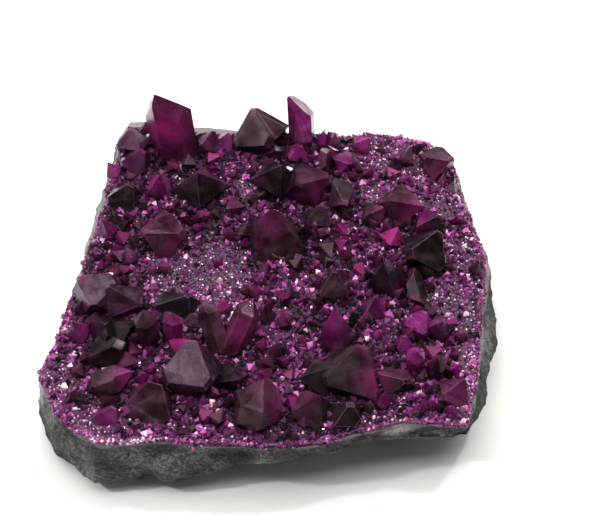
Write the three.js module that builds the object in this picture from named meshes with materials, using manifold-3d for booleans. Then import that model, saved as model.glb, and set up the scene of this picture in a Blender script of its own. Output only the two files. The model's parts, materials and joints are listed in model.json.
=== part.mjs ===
// A loose mineral specimen: a slab of grey-green rock, the purple crust of small crystals that covers
// its top, and the larger dark purple crystals that stand out of the crust. Millimetres, +Z up, +X to
// the right, +Y to the back.
import * as THREE from 'three';
import { ConvexGeometry } from 'three/addons/geometries/ConvexGeometry.js';
import { mergeVertices } from 'three/addons/utils/BufferGeometryUtils.js';
import Module from 'manifold-3d';

const wasm = await Module();
wasm.setup();

// Levels above the table
const RIM_LEVEL = 13.6; // top edge of the rock
const BED_LEVEL = 13.0; // rock under the middle of the crust
const CRUST_LEVEL = 15.2; // crust away from the edge
const ROOT_LEVEL = 14.6; // depth that the large crystals reach down to

// Clearances and roughness
const GAP = 0.3; // between a crystal and its socket, and between the crust and the rock
const BED_REACH = 0.86; // where the dished bed starts, as a share of the way out
const ROCK_ROUGHNESS = 0.55; // how far the broken rock stands in and out
const ROCK_RIPPLE = 0.27; // how far the edges of its side go up and down
const RIM_RIPPLE = 0.3; // how far the rock's rim goes up and down
const RIM_ROUGHNESS = 0.22; // how far the rock's rim stands in and out
const CRUST_ROUGHNESS = 0.28; // how far the crust's surface goes up and down between its points
const CRUST_EDGE_IN = 0.35; // how far the crust's edge hangs over its foot
const CRUST_EDGE_HEIGHT = 1.0; // how far that edge is above the rock
const CRUST_EDGE_ROUGHNESS = 0.3; // how far that edge stands in and out
const CRUST_EDGE_RIPPLE = 0.15; // how far that edge goes up and down

// Shape of the rock's side, as shares
const UNDERSIDE_OUT = 0.62; // the underside's middle ring, of the way from the foot to the belly
const UNDERSIDE_UP = 0.42; // its height, of the side wall's lower edge
const WALL_MIDDLE_IN = 0.35; // the side wall's middle ring, of the way from the belly to the rim
const WALL_MIDDLE_UP = 0.55; // its height, of the way from the wall's lower edge to the rim

// Grid of the slab and the crust: rings of points, each ring with six more points than the one inside it
const RINGS = 11;
const RING_POINTS = 6 * RINGS;

// Plan outlines, as points that a closed curve runs through
const CENTRE = new THREE.Vector2(2, 1);
const RIM_OUTLINE = [
  [-42.0, -24.0], [-38.8, -30.5], [-30.0, -38.4], [-19.0, -38.2], [-9.0, -39.1], [4.5, -39.4], [12.0, -38.4],
  [20.0, -35.8], [30.0, -34.4], [36.6, -35.2], [39.2, -25.0], [41.5, -12.0], [44.2, 1.4], [42.6, 10.0],
  [40.6, 22.0], [38.8, 32.0], [34.0, 37.0], [25.0, 39.3], [8.0, 38.8], [-8.0, 41.0], [-22.0, 42.6],
  [-31.4, 43.0], [-33.6, 32.0], [-35.4, 19.0], [-37.0, 4.0], [-38.6, -10.0], [-39.6, -17.0],
];
const BELLY_OUTLINE = [
  [-44.0, -22.0], [-42.4, -29.0], [-38.0, -36.0], [-33.0, -39.6], [-28.0, -41.2], [-20.0, -40.4], [-8.0, -39.6],
  [4.0, -39.6], [13.0, -38.6], [21.0, -36.0], [29.0, -35.6], [37.0, -35.2], [41.8, -26.0], [44.6, -14.0],
  [46.3, 0.0], [45.5, 10.0], [43.0, 22.0], [40.5, 32.0], [35.5, 38.5], [25.0, 41.0], [8.0, 40.6],
  [-8.0, 42.8], [-22.0, 44.4], [-32.4, 44.8], [-35.6, 32.0], [-37.6, 18.0], [-39.4, 3.0], [-41.0, -9.0],
];
const FOOT_OUTLINE = [
  [-40.0, -28.0], [-35.5, -34.0], [-28.0, -38.4], [-20.0, -37.0], [-8.0, -33.6], [6.0, -30.0], [18.0, -25.0],
  [27.0, -19.0], [33.0, -10.0], [36.0, 2.0], [35.0, 14.0], [31.0, 26.0], [22.0, 32.0], [5.0, 34.0],
  [-15.0, 36.0], [-28.0, 37.0], [-31.0, 26.0], [-33.5, 10.0], [-36.5, -6.0], [-39.5, -18.0],
];
// Lower edge of the rock's side wall: direction in degrees from the centre, level in mm
const WALL_FOOT_LEVELS = [
  [-180, 3.5], [-165, 3.0], [-140, 3.0], [-121, 3.6], [-105, 6.0], [-93, 8.4], [-75, 10.8], [-66, 11.9],
  [-57, 11.2], [-51, 9.3], [-46, 11.0], [-35, 8.5], [-20, 6.5], [0, 5.5], [41, 5.0], [90, 4.2],
  [128, 4.0], [175, 3.5], [180, 3.5],
];

// Bare rock outside the crust's edge: direction in degrees from the centre, width in mm
const BARE_RIM = [
  [-180, 0.9], [-165, 0.5], [-150, 0.35], [-60, 0.35], [-20, 0.8], [0, 1.1], [20, 0.6], [44, 0.5],
  [50, 1.3], [57, 0.4], [64, 0.4], [67, 1.6], [71, 0.4], [94, 0.5], [103, 2.6], [120, 3.6],
  [130, 3.0], [138, 1.5], [165, 1.2], [180, 0.9],
];
// How far the rock's rim stands above its usual level: direction, height in mm
const RIM_RISE = [
  [-180, 0], [96, 0], [104, 0.5], [118, 0.9], [126, 1.5], [133, 0.9], [142, 0], [180, 0],
];

// Swells and hollows of the crust: x, y, radius, height
const CRUST_SWELLS = [
  [-26, 31, 8, 0.9], [-1, 33, 9, 0.8], [12, 22, 6, 0.6], [-18, 20, 6, 0.5], [27, 15, 7, 0.5],
  [36.2, 18.6, 3.6, 1.7], [16, -26, 8, 0.8], [-12, -22, 8, 0.9], [-28, -15, 9, 0.6], [28, -6, 8, 0.4],
  [-10.2, -8.2, 1.9, 1.1], [-5.0, -10.8, 1.8, 0.9], [8.4, -18.8, 2.0, 1.1], [4.3, -17.2, 1.5, 0.9],
  [-36, -27, 5, -0.5], [1.5, 16, 4.5, -0.9], [-17, 13.5, 4.0, -0.7], [24, -32, 4, 0.4],
];

// Smaller crystals that are grown together with the crust
const SMALL_COUNT = 100; // places that are tried
const SMALL_RADIUS = [1.2, 2.3]; // smallest and largest
const SMALL_EDGE_SHARE = 0.95; // how far out they stand
const SMALL_CLEARANCE = 1.0; // from their middle to a large crystal's side
const SMALL_SPREAD = 90; // side of the square that the places are spread over
const SMALL_STEPS = [0.7548776662, 0.5698402910]; // shares of the square from one place to the next
const SMALL_PYRAMIDS = 0.6; // share of them that stand on a corner
const SMALL_LENGTHS = { pyramid: 1.35, tablet: 0.75 }; // half length, as a share of the radius
const SMALL_RISE = 0.35; // how far the middle is above the crust, as a share of the radius
const SMALL_TILT = 38; // furthest that one leans, in degrees
// Fine-grained patches without small crystals: x, y, radius
const SUGAR_PATCHES = [
  [-13, -1, 11], [24, 33, 7], [38, -8, 7], [37, 4, 5], [-38, -26, 6], [-6, 22, 3],
];

// Colour and roughness of each finish
const FINISHES = {
  rock: [0x5d655d, 0.85],
  crust: [0x6a2e6a, 0.45],
  maroon: [0x4a1838, 0.2],
  dark: [0x2b2630, 0.2],
  magenta: [0x8a1a72, 0.2],
  grey: [0x5a4a55, 0.25],
  pale: [0x9a8090, 0.35],
};

// The large crystals. Each row is one crystal: node, finish, form, place of its middle, half width,
// half length along its own axis, the way the axis looks (compass direction from +X, then degrees off
// upright), turn about the axis, and its stretch across. Rows with the same node have grown into each
// other and are one solid.
const LARGE_CRYSTALS = [
  ['tall_point', 'maroon', 'chisel', [-20.9, 34.0, 20.0], 4.8, 10.6, [150, 4], -30],
  ['pale_crystal_back_left', 'pale', 'tablet', [-29.4, 33.0, 17.6], 2.9, 2.4, [-100, 34], 20],
  ['pale_crystal_back_left', 'pale', 'tablet', [-28.0, 28.6, 16.2], 2.9, 2.4, [-90, 44], 0],
  ['rim_crystal_back_left', 'magenta', 'pyramid', [-32.8, 26.4, 15.6], 1.9, 3.4, [170, 18], 30],
  ['dark_octahedron', 'dark', 'pyramid', [-14.2, 20.4, 17.6], 5.2, 6.2, [0, 84], 8],
  ['purple_crystal_left', 'magenta', 'pyramid', [-22.8, 21.4, 16.4], 3.2, 4.8, [-60, 14], 40],
  ['flat_dark_crystal', 'dark', 'tablet', [-29.6, 18.6, 15.9], 3.2, 2.1, [-100, 48], 0],
  ['rim_crystal_left', 'magenta', 'pyramid', [-32.3, 9.7, 15.6], 2.6, 4.0, [170, 14], 10],
  ['plate_pair_back', 'magenta', 'tablet', [-12.9, 34.6, 16.0], 2.4, 1.7, [-60, 42], 30],
  ['plate_pair_back', 'magenta', 'tablet', [-9.4, 35.2, 15.8], 2.2, 1.6, [-100, 50], 0],
  ['block_with_magenta_foot', 'maroon', 'tablet', [-20.6, 7.6, 16.4], 4.4, 2.8, [90, 14], 30],
  ['large_pyramid', 'maroon', 'pyramid', [1.0, 7.4, 15.4], 7.4, 9.0, [125, 6], -30],
  ['large_pyramid', 'maroon', 'pyramid', [7.2, 9.2, 15.4], 1.9, 3.2, [-80, 12], 20],
  ['leaning_grey_crystal', 'grey', 'tablet', [-2.2, 35.2, 18.0], 4.8, 3.6, [-130, 40], 20],
  ['leaning_grey_crystal', 'grey', 'pyramid', [1.0, 31.6, 16.4], 2.6, 4.4, [-80, 40], 15],
  ['spire', 'magenta', 'chisel', [7.0, 36.2, 18.0], 2.8, 8.6, [180, 2], -70],
  ['bright_crystal_back', 'magenta', 'tablet', [6.0, 30.8, 16.4], 2.2, 1.5, [-70, 46], 30],
  ['dark_twin', 'dark', 'pyramid', [1.4, 23.2, 17.4], 5.0, 5.6, [200, 76], 4],
  ['dark_twin', 'magenta', 'tablet', [7.8, 20.8, 17.4], 4.0, 2.9, [60, 12], 60],
  ['grey_crystal_middle', 'grey', 'tablet', [10.4, 13.0, 15.8], 2.5, 1.7, [-90, 34], 30],
  ['thin_blade', 'grey', 'tablet', [12.0, 27.6, 17.0], 3.3, 0.8, [-10, 80], 20],
  ['purple_plate', 'magenta', 'tablet', [15.8, 28.4, 16.6], 2.2, 1.4, [90, 6], 0],
  ['rim_pair_back', 'magenta', 'pyramid', [11.3, 35.4, 15.8], 1.8, 3.2, [60, 15], 20],
  ['rim_pair_back', 'maroon', 'pyramid', [14.1, 34.7, 15.8], 2.1, 3.4, [90, 10], 50],
  ['rim_crystal_back', 'magenta', 'tablet', [19.8, 34.2, 15.8], 2.0, 1.5, [-60, 50], 0],
  ['leaf_crystal', 'grey', 'tablet', [14.9, 18.2, 17.2], 2.4, 1.5, [30, 26], 90, 2.0],
  ['magenta_cornered_crystal', 'maroon', 'pyramid', [26.8, 15.6, 17.0], 4.9, 6.0, [-22, 70], 12],
  ['magenta_cornered_crystal', 'dark', 'tablet', [21.4, 13.4, 16.0], 2.6, 1.9, [-60, 58], 0],
  ['magenta_pair', 'magenta', 'pyramid', [27.0, 28.8, 15.8], 2.0, 3.2, [-120, 20], 15],
  ['magenta_pair', 'magenta', 'pyramid', [29.4, 29.8, 16.2], 2.0, 3.6, [60, 20], 50],
  ['rim_crystal_back_right', 'maroon', 'tablet', [35.4, 28.2, 16.8], 3.4, 2.2, [70, 20], 20],
  ['dark_crystal_right', 'dark', 'tablet', [33.2, 11.2, 16.0], 3.0, 1.9, [-90, 66], 0],
  ['dark_block', 'dark', 'tablet', [31.2, 2.6, 16.8], 4.3, 3.3, [-60, 34], 10],
  ['dark_pyramid_right', 'dark', 'pyramid', [23.4, -3.2, 16.2], 4.4, 6.2, [-150, 8], 22],
  ['striped_blade', 'grey', 'tablet', [29.2, -5.4, 16.6], 2.6, 0.9, [0, 54], 90, 1.6],
  ['kite', 'magenta', 'pyramid', [13.4, -17.7, 16.2], 3.9, 9.6, [125, 5], -80],
  ['striped_gem', 'magenta', 'pyramid', [18.6, -20.4, 16.0], 1.5, 2.8, [-90, 18], 45],
  ['brown_facet_crystal', 'grey', 'tablet', [16.0, -26.6, 17.2], 5.0, 3.0, [-80, 32], 15],
  ['brown_facet_crystal', 'dark', 'pyramid', [10.4, -26.4, 16.4], 4.2, 4.8, [-160, 62], 10],
  ['wedge', 'grey', 'tablet', [24.0, -27.1, 16.2], 2.3, 1.6, [80, 28], 0, 1.5],
  ['magenta_prism', 'magenta', 'point', [27.6, -23.0, 16.4], 1.8, 5.0, [-90, 12], 0],
  ['dark_prism', 'dark', 'point', [31.3, -24.8, 16.0], 1.8, 4.6, [-50, 8], 20],
  ['bright_crystal_right', 'magenta', 'pyramid', [35.0, -24.4, 15.8], 1.6, 2.8, [-60, 16], 20],
  ['mauve_facet_right', 'grey', 'tablet', [34.4, -29.8, 15.8], 2.7, 1.8, [-60, 38], 10],
  ['square_facet_pair', 'magenta', 'tablet', [28.6, -14.6, 16.4], 2.5, 2.0, [-100, 28], 0],
  ['square_facet_pair', 'grey', 'pyramid', [32.8, -15.4, 16.2], 3.0, 4.4, [-80, 18], 5],
  ['striped_gem_right', 'magenta', 'tablet', [25.9, -18.9, 15.8], 1.8, 1.3, [-70, 34], 40],
  ['magenta_faced_crystal', 'magenta', 'pyramid', [20.6, -10.6, 16.0], 3.2, 5.0, [-90, 10], 45],
  ['dull_crystal_middle', 'maroon', 'tablet', [13.2, -5.2, 16.0], 2.9, 2.2, [-90, 38], 30],
  ['mauve_crystal_front', 'grey', 'tablet', [8.6, -33.4, 16.2], 3.1, 2.0, [-100, 48], 0],
  ['mauve_crystal_front_right', 'grey', 'tablet', [14.8, -34.2, 16.2], 2.6, 2.0, [-80, 50], 30],
  ['pale_topped_crystal', 'pale', 'tablet', [-32.2, -7.8, 16.6], 4.3, 2.8, [130, 6], 90],
  ['pale_topped_crystal', 'pale', 'tablet', [-26.8, -9.2, 16.4], 3.2, 2.5, [40, 32], 0, 1.4],
  ['purple_crystal_front_left', 'magenta', 'pyramid', [-35.2, -15.6, 15.6], 2.7, 4.0, [-140, 12], 20],
  ['dark_crystals_left', 'dark', 'pyramid', [-27.2, -16.0, 16.6], 3.5, 4.0, [20, 60], 10],
  ['dark_crystals_left', 'dark', 'tablet', [-30.2, -17.2, 17.0], 3.4, 1.2, [-150, 66], 60],
  ['dark_crystals_left', 'dark', 'tablet', [-28.6, -20.6, 16.0], 3.2, 2.4, [-90, 60], 0, 1.2],
  ['maroon_point', 'maroon', 'point', [-21.9, -17.2, 17.2], 2.35, 6.4, [110, 8], 20],
  ['magenta_point', 'magenta', 'point', [-17.2, -17.0, 17.0], 2.05, 5.8, [60, 10], 0],
  ['long_dark_crystal', 'dark', 'tablet', [-17.4, -9.6, 16.2], 2.3, 1.9, [-90, 48], 0, 1.8],
  ['clear_crystal', 'pale', 'tablet', [-14.0, -13.6, 16.2], 1.5, 1.1, [-80, 30], 20],
  ['frosted_block', 'pale', 'tablet', [-13.4, -25.8, 17.8], 4.7, 3.6, [-110, 22], 20],
  ['dark_crystal_front', 'dark', 'pyramid', [-5.8, -26.6, 16.2], 3.4, 4.8, [-60, 40], 20],
  ['v_shaped_pair', 'maroon', 'point', [-9.4, -17.2, 18.2], 2.2, 6.4, [112, 48], 10],
  ['v_shaped_pair', 'magenta', 'point', [-4.8, -17.2, 18.2], 2.5, 6.6, [54, 46], 20],
  ['crystal_with_magenta_tip', 'maroon', 'point', [-28.2, -27.4, 16.4], 2.8, 5.0, [12, 72], 15],
  ['small_magenta_crystal', 'magenta', 'pyramid', [-22.2, -26.2, 15.8], 1.6, 3.0, [-30, 20], 10],
  ['dull_facet_crystal', 'maroon', 'tablet', [-20.4, -32.0, 15.4], 4.0, 1.9, [-90, 32], 15],
  ['magenta_lump_front_left', 'magenta', 'tablet', [-27.6, -34.4, 15.2], 2.4, 1.7, [-90, 36], 0],
  ['front_maroon_point', 'maroon', 'point', [-1.0, -33.4, 17.2], 4.0, 6.6, [62, 26], 10],
  ['magenta_crystal_middle', 'magenta', 'pyramid', [0.2, -12.2, 15.6], 2.1, 4.2, [90, 8], 20],
  ['magenta_crystal_front', 'magenta', 'pyramid', [2.2, -21.2, 15.6], 2.1, 4.2, [90, 10], 55],
];

// Helpers

// Gives a repeatable value from 0 to 1 for a number.
function chance(n) {
  const wave = Math.sin(n * 12.9898) * 43758.5453;
  return wave - Math.floor(wave);
}

// Gives a repeatable value from -1 to 1 for a number.
function sway(n) {
  return 2 * chance(n) - 1;
}

// Makes a unit vector from a compass direction and the degrees that it is off upright.
function direction(compass, offUpright) {
  const turn = THREE.MathUtils.degToRad(compass);
  const tilt = THREE.MathUtils.degToRad(offUpright);
  return new THREE.Vector3(Math.sin(tilt) * Math.cos(turn), Math.sin(tilt) * Math.sin(turn), Math.cos(tilt));
}

// Turns a closed geometry into a solid with shared corners.
function solidOf(geometry) {
  const bare = geometry.clone();
  bare.deleteAttribute('normal');
  bare.deleteAttribute('uv');
  const merged = mergeVertices(bare, 1e-4);
  return new wasm.Manifold(new wasm.Mesh({
    numProp: 3,
    vertProperties: new Float32Array(merged.attributes.position.array),
    triVerts: new Uint32Array(merged.index.array),
  }));
}

// Turns a solid back into a geometry.
function geometryOf(solid) {
  const mesh = solid.getMesh();
  const geometry = new THREE.BufferGeometry();
  geometry.setAttribute('position', new THREE.BufferAttribute(Float32Array.from(mesh.vertProperties), 3));
  geometry.setIndex(new THREE.BufferAttribute(Uint32Array.from(mesh.triVerts), 1));
  geometry.computeVertexNormals();
  return geometry;
}

// Keeps the largest body of a solid, so that no loose chip is left by a cut.
function largestBody(solid) {
  return solid.decompose().reduce((a, b) => (a.volume() > b.volume() ? a : b));
}

// Names a mesh and gives it its material.
function piece(name, geometry, finish) {
  const [color, roughness] = FINISHES[finish];
  const material = new THREE.MeshStandardMaterial({ color, roughness, metalness: 0 });
  const mesh = new THREE.Mesh(geometry, material);
  mesh.name = name;
  return mesh;
}

// Outlines and rings

const COMPASS_STEPS = 1440;

// Gives a function from a direction to the outline's distance from the centre.
function outlineReach(points) {
  const corners = points.map(([x, y]) => new THREE.Vector3(x, y, 0));
  const curve = new THREE.CatmullRomCurve3(corners, true, 'centripetal');
  const samples = curve.getPoints(COMPASS_STEPS)
    .map((p) => new THREE.Vector2(p.x, p.y).sub(CENTRE))
    .map((p) => ({ angle: Math.atan2(p.y, p.x), reach: p.length() }))
    .sort((a, b) => a.angle - b.angle);
  return (angle) => {
    const next = samples.findIndex((s) => s.angle >= angle);
    const after = samples[next === -1 ? 0 : next];
    const before = samples[(next <= 0 ? samples.length : next) - 1];
    const span = (after.angle - before.angle + 2 * Math.PI) % (2 * Math.PI);
    const part = (angle - before.angle + 2 * Math.PI) % (2 * Math.PI);
    return THREE.MathUtils.lerp(before.reach, after.reach, span > 0 ? part / span : 0);
  };
}

const rimReach = outlineReach(RIM_OUTLINE);
const bellyReach = outlineReach(BELLY_OUTLINE);
const footReach = outlineReach(FOOT_OUTLINE);

// Gives a function from a direction to a value, straight between the rows of direction in degrees and value.
function aroundCompass(rows) {
  return (angle) => {
    const degrees = THREE.MathUtils.radToDeg(angle);
    const next = Math.max(1, rows.findIndex(([at]) => at >= degrees));
    const [fromAngle, from] = rows[next - 1];
    const [toAngle, to] = rows[next];
    return THREE.MathUtils.mapLinear(degrees, fromAngle, toAngle, from, to);
  };
}

const wallFootLevel = aroundCompass(WALL_FOOT_LEVELS);
const bareRim = aroundCompass(BARE_RIM);
const rimRise = aroundCompass(RIM_RISE);

// Makes one ring of points around the centre. reachAt and levelAt take the direction and the point's number.
function ring(count, reachAt, levelAt) {
  return Array.from({ length: count }, (_, i) => {
    const angle = -Math.PI + (2 * Math.PI * (i + 0.5)) / count;
    const reach = reachAt(angle, i);
    return new THREE.Vector3(
      CENTRE.x + reach * Math.cos(angle),
      CENTRE.y + reach * Math.sin(angle),
      levelAt(angle, i),
    );
  });
}

// Collects points and triangles of one closed body.
class Surface {
  constructor() {
    this.points = [];
    this.triangles = [];
  }

  // Adds points and gives their numbers.
  add(points) {
    const first = this.points.length;
    this.points.push(...points);
    return points.map((_, i) => first + i);
  }

  // Joins two rings of the same count. Seen from outside, the upper ring is above.
  band(lower, upper) {
    lower.forEach((a, i) => {
      const j = (i + 1) % lower.length;
      this.triangles.push([a, lower[j], upper[j]], [a, upper[j], upper[i]]);
    });
  }

  // Joins a ring to one point in its middle. The face looks up, or down when facing is -1.
  fan(edge, middle, facing) {
    edge.forEach((a, i) => {
      const b = edge[(i + 1) % edge.length];
      this.triangles.push(facing > 0 ? [a, b, middle] : [b, a, middle]);
    });
  }

  // Joins a ring of 6(k-1) points to the ring of 6k points around it, facing up.
  widen(inner, outer, k) {
    for (let sector = 0; sector < 6; sector += 1) {
      for (let i = 0; i < k; i += 1) {
        const near = inner[(sector * (k - 1) + i) % inner.length];
        const from = outer[sector * k + i];
        const to = outer[(sector * k + i + 1) % outer.length];
        this.triangles.push([near, from, to]);
        if (i < k - 1) {
          this.triangles.push([near, to, inner[(sector * (k - 1) + i + 1) % inner.length]]);
        }
      }
    }
  }

  geometry() {
    const geometry = new THREE.BufferGeometry();
    const numbers = this.points.flatMap((p) => p.toArray());
    geometry.setAttribute('position', new THREE.Float32BufferAttribute(numbers, 3));
    geometry.setIndex(this.triangles.flat());
    return geometry;
  }
}

// Rock slab

// Level of the rock's rim at a point of its ring.
function rimLevel(angle, i) {
  return RIM_LEVEL + rimRise(angle) + RIM_RIPPLE * sway(i + 11);
}

// Level of the rock's top at a distance inside its rim, where it slopes down to the bed.
function rockTop(angle, i, inside) {
  return THREE.MathUtils.lerp(rimLevel(angle, i), BED_LEVEL, inside / ((1 - BED_REACH) * rimReach(angle)));
}

// Makes the slab: flat foot, rising underside, broken side wall, rim and dished bed.
function rockSlab() {
  const slab = new Surface();
  const rough = (i, seed) => ROCK_ROUGHNESS * sway(i * 3 + seed);
  const ripple = (i, seed) => ROCK_RIPPLE * sway(i * 3 + seed);
  const under = (angle) => THREE.MathUtils.lerp(footReach(angle), bellyReach(angle), UNDERSIDE_OUT);
  const wall = (angle) => THREE.MathUtils.lerp(bellyReach(angle), rimReach(angle), WALL_MIDDLE_IN);
  const foot = slab.add(ring(RING_POINTS, (a, i) => footReach(a) + rough(i, 1), () => 0));
  const underside = slab.add(ring(
    RING_POINTS,
    (a, i) => under(a) + rough(i, 2),
    (a, i) => UNDERSIDE_UP * wallFootLevel(a) + ripple(i, 5),
  ));
  const wallFoot = slab.add(ring(
    RING_POINTS,
    (a, i) => bellyReach(a) + rough(i, 3),
    (a, i) => wallFootLevel(a) + ripple(i, 6),
  ));
  const wallMiddle = slab.add(ring(
    RING_POINTS,
    (a, i) => wall(a) + rough(i, 4),
    (a, i) => THREE.MathUtils.lerp(wallFootLevel(a), RIM_LEVEL, WALL_MIDDLE_UP) + ripple(i, 7),
  ));
  const rim = slab.add(ring(
    RING_POINTS,
    (a, i) => rimReach(a) + RIM_ROUGHNESS * sway(i * 3 + 8),
    rimLevel,
  ));
  const bed = slab.add(ring(RING_POINTS, (a) => BED_REACH * rimReach(a), () => BED_LEVEL));
  const [footMiddle] = slab.add([new THREE.Vector3(CENTRE.x, CENTRE.y, 0)]);
  const [bedMiddle] = slab.add([new THREE.Vector3(CENTRE.x, CENTRE.y, BED_LEVEL)]);
  slab.fan(foot, footMiddle, -1);
  slab.band(foot, underside);
  slab.band(underside, wallFoot);
  slab.band(wallFoot, wallMiddle);
  slab.band(wallMiddle, rim);
  slab.band(rim, bed);
  slab.fan(bed, bedMiddle, 1);
  return slab.geometry();
}

// Crust

// Level of the crust's surface at a place in plan, before its fine roughness.
function crustSwell(x, y) {
  const waves = 0.25 * Math.sin(x / 5.3 + 1) * Math.cos(y / 6.1) + 0.2 * Math.sin((x + y) / 3.7);
  return CRUST_SWELLS.reduce(
    (level, [cx, cy, radius, height]) => (
      level + height * Math.exp(-((x - cx) ** 2 + (y - cy) ** 2) / radius ** 2)
    ),
    CRUST_LEVEL + waves,
  );
}

// Makes the crust's body: a sheet that follows the rock's bed below and swells above.
function crustBody() {
  const sheet = new Surface();
  const meanEdge = (a) => rimReach(a) - bareRim(a);
  const edgeReach = (a, i) => meanEdge(a) + CRUST_EDGE_ROUGHNESS * sway(i * 5 + 2);
  const innerReach = (a, k) => (k / RINGS) * meanEdge(a);
  const rings = Array.from({ length: RINGS }, (_, index) => {
    const k = index + 1;
    if (k === RINGS) {
      const ripple = (i) => CRUST_EDGE_HEIGHT + CRUST_EDGE_RIPPLE * sway(i * 7);
      return sheet.add(ring(RING_POINTS, edgeReach, (a, i) => rockTop(a, i, bareRim(a)) + ripple(i)));
    }
    const points = ring(6 * k, (a) => innerReach(a, k), () => 0);
    points.forEach((p, i) => {
      p.z = crustSwell(p.x, p.y) + CRUST_ROUGHNESS * sway(i * 2 + k * 97);
    });
    return sheet.add(points);
  });
  const [top] = sheet.add([new THREE.Vector3(CENTRE.x, CENTRE.y, crustSwell(CENTRE.x, CENTRE.y))]);
  const footRing = sheet.add(ring(
    RING_POINTS,
    (a) => meanEdge(a) - CRUST_EDGE_IN,
    (a, i) => rockTop(a, i, bareRim(a) + CRUST_EDGE_IN) + GAP,
  ));
  const bedRing = sheet.add(ring(RING_POINTS, (a) => BED_REACH * rimReach(a), () => BED_LEVEL + GAP));
  const [bedMiddle] = sheet.add([new THREE.Vector3(CENTRE.x, CENTRE.y, BED_LEVEL + GAP)]);
  sheet.fan(rings[0], top, 1);
  for (let k = 2; k <= RINGS; k += 1) {
    sheet.widen(rings[k - 2], rings[k - 1], k);
  }
  sheet.band(footRing, rings[RINGS - 1]);
  sheet.band(bedRing, footRing);
  sheet.fan(bedRing, bedMiddle, -1);
  return solidOf(sheet.geometry());
}

// Crystals

// Angles between the faces of a regular octahedron that lies on a face, in degrees off upright
const SIDE_FACE = 70.53;
const CORNER_FACE = 54.74; // the small faces that cut off its corners
const POINT_FACE = 50; // end faces of a six-sided point
const CHISEL_FACES = [[90, 50], [-30, 64], [210, 68]]; // end faces of a chisel: direction, degrees off upright

// Distances of faces from the middle, as shares of the half width where no other length is named
const SIDE_OUT = 0.86; // side faces of a lying octahedron
const PRISM_OUT = 0.9; // side faces of a six-sided point
const CHISEL_OUT = [0.62, 0.66, 0.6]; // end faces of a chisel, as shares of the half length
const CORNER_CUT = 1.2; // where a lying octahedron's upper corners are cut off, as a share of the half width
const FACE_UNEVENNESS = 0.1; // share by which a face stands in or out

// The faces of each form: the way a face looks and its distance from the middle. They are those of an
// octahedron that stands on a corner (pyramid), of one that lies on a face (tablet), of a six-sided prism
// with a pointed end, and of one that ends in one large slanting face and two smaller ones (chisel). The
// lying octahedron has its upper corners cut off a little by the faces of a cube.
const FORMS = {
  pyramid(halfWidth, halfLength) {
    const slope = THREE.MathUtils.radToDeg(Math.atan2(halfLength, halfWidth * Math.SQRT1_2));
    const distance = halfLength * Math.cos(THREE.MathUtils.degToRad(slope));
    return [45, 135, 225, 315].flatMap((compass) => [
      [compass, slope, distance],
      [compass, 180 - slope, distance],
    ]);
  },
  tablet(halfWidth, halfLength) {
    const sides = [0, 120, 240].flatMap((compass) => [
      [compass, SIDE_FACE, SIDE_OUT * halfWidth],
      [compass + 60, 180 - SIDE_FACE, SIDE_OUT * halfWidth],
    ]);
    const corners = [60, 180, 300].map((compass) => [compass, CORNER_FACE, CORNER_CUT * halfWidth]);
    return [[0, 0, halfLength], [0, 180, halfLength], ...sides, ...corners];
  },
  point(halfWidth, halfLength) {
    const ends = halfLength * Math.cos(THREE.MathUtils.degToRad(POINT_FACE));
    return [0, 60, 120, 180, 240, 300].flatMap((compass) => [
      [compass, 90, PRISM_OUT * halfWidth],
      [compass, POINT_FACE, ends],
      [compass, 180 - POINT_FACE, ends],
    ]);
  },
  chisel(halfWidth, halfLength) {
    const sides = [0, 60, 120, 180, 240, 300].map((compass) => [compass, 90, PRISM_OUT * halfWidth]);
    const ends = CHISEL_FACES.map(([compass, slope], i) => [compass, slope, CHISEL_OUT[i] * halfLength]);
    return [...sides, ...ends, [0, 180, halfLength]];
  },
};

// Works out a crystal's faces as planes. Real crystals grow unevenly, so each face stands in or out a
// little.
function crystalPlanes(form, middle, halfWidth, halfLength, looks, turn, stretch, seed) {
  const up = new THREE.Vector3(0, 0, 1);
  const tilt = new THREE.Quaternion().setFromUnitVectors(up, direction(...looks));
  const roll = new THREE.Quaternion().setFromAxisAngle(up, THREE.MathUtils.degToRad(turn));
  const pose = new THREE.Matrix4().compose(
    new THREE.Vector3(...middle),
    tilt.multiply(roll),
    new THREE.Vector3(stretch, 1, 1),
  );
  return FORMS[form](halfWidth, halfLength).map(([compass, offUpright, distance], i) => {
    const uneven = 1 + FACE_UNEVENNESS * sway(seed * 31 + i * 7);
    const normal = direction(compass, offUpright);
    return new THREE.Plane(normal, -distance * uneven).applyMatrix4(pose);
  });
}

// Makes the convex body inside a set of planes, grown outwards by an allowance and cut off level at its root.
function crystalBody(planes, rootLevel, allowance) {
  const root = new THREE.Plane(new THREE.Vector3(0, 0, -1), rootLevel);
  const faces = [...planes, root].map((p) => new THREE.Plane(p.normal.clone(), p.constant - allowance));
  const corners = [];
  faces.forEach((a, i) => faces.slice(i + 1).forEach((b, j) => faces.slice(i + j + 2).forEach((c) => {
    const corner = meetingPoint(a, b, c);
    if (!corner || faces.some((face) => face.distanceToPoint(corner) > 1e-6)) {
      return;
    }
    if (corners.every((other) => other.distanceTo(corner) > 0.02)) {
      corners.push(corner);
    }
  })));
  return solidOf(new ConvexGeometry(corners));
}

// Gives the point where three planes meet, or null where two of them are nearly parallel.
function meetingPoint(a, b, c) {
  const along = new THREE.Vector3().crossVectors(b.normal, c.normal);
  const share = a.normal.dot(along);
  if (Math.abs(share) < 1e-4) {
    return null;
  }
  return along.multiplyScalar(-a.constant)
    .add(new THREE.Vector3().crossVectors(c.normal, a.normal).multiplyScalar(-b.constant))
    .add(new THREE.Vector3().crossVectors(a.normal, b.normal).multiplyScalar(-c.constant))
    .divideScalar(share);
}

// Joins solids into one.
function joined(solids) {
  return solids.reduce((whole, solid) => whole.add(solid));
}

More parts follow.
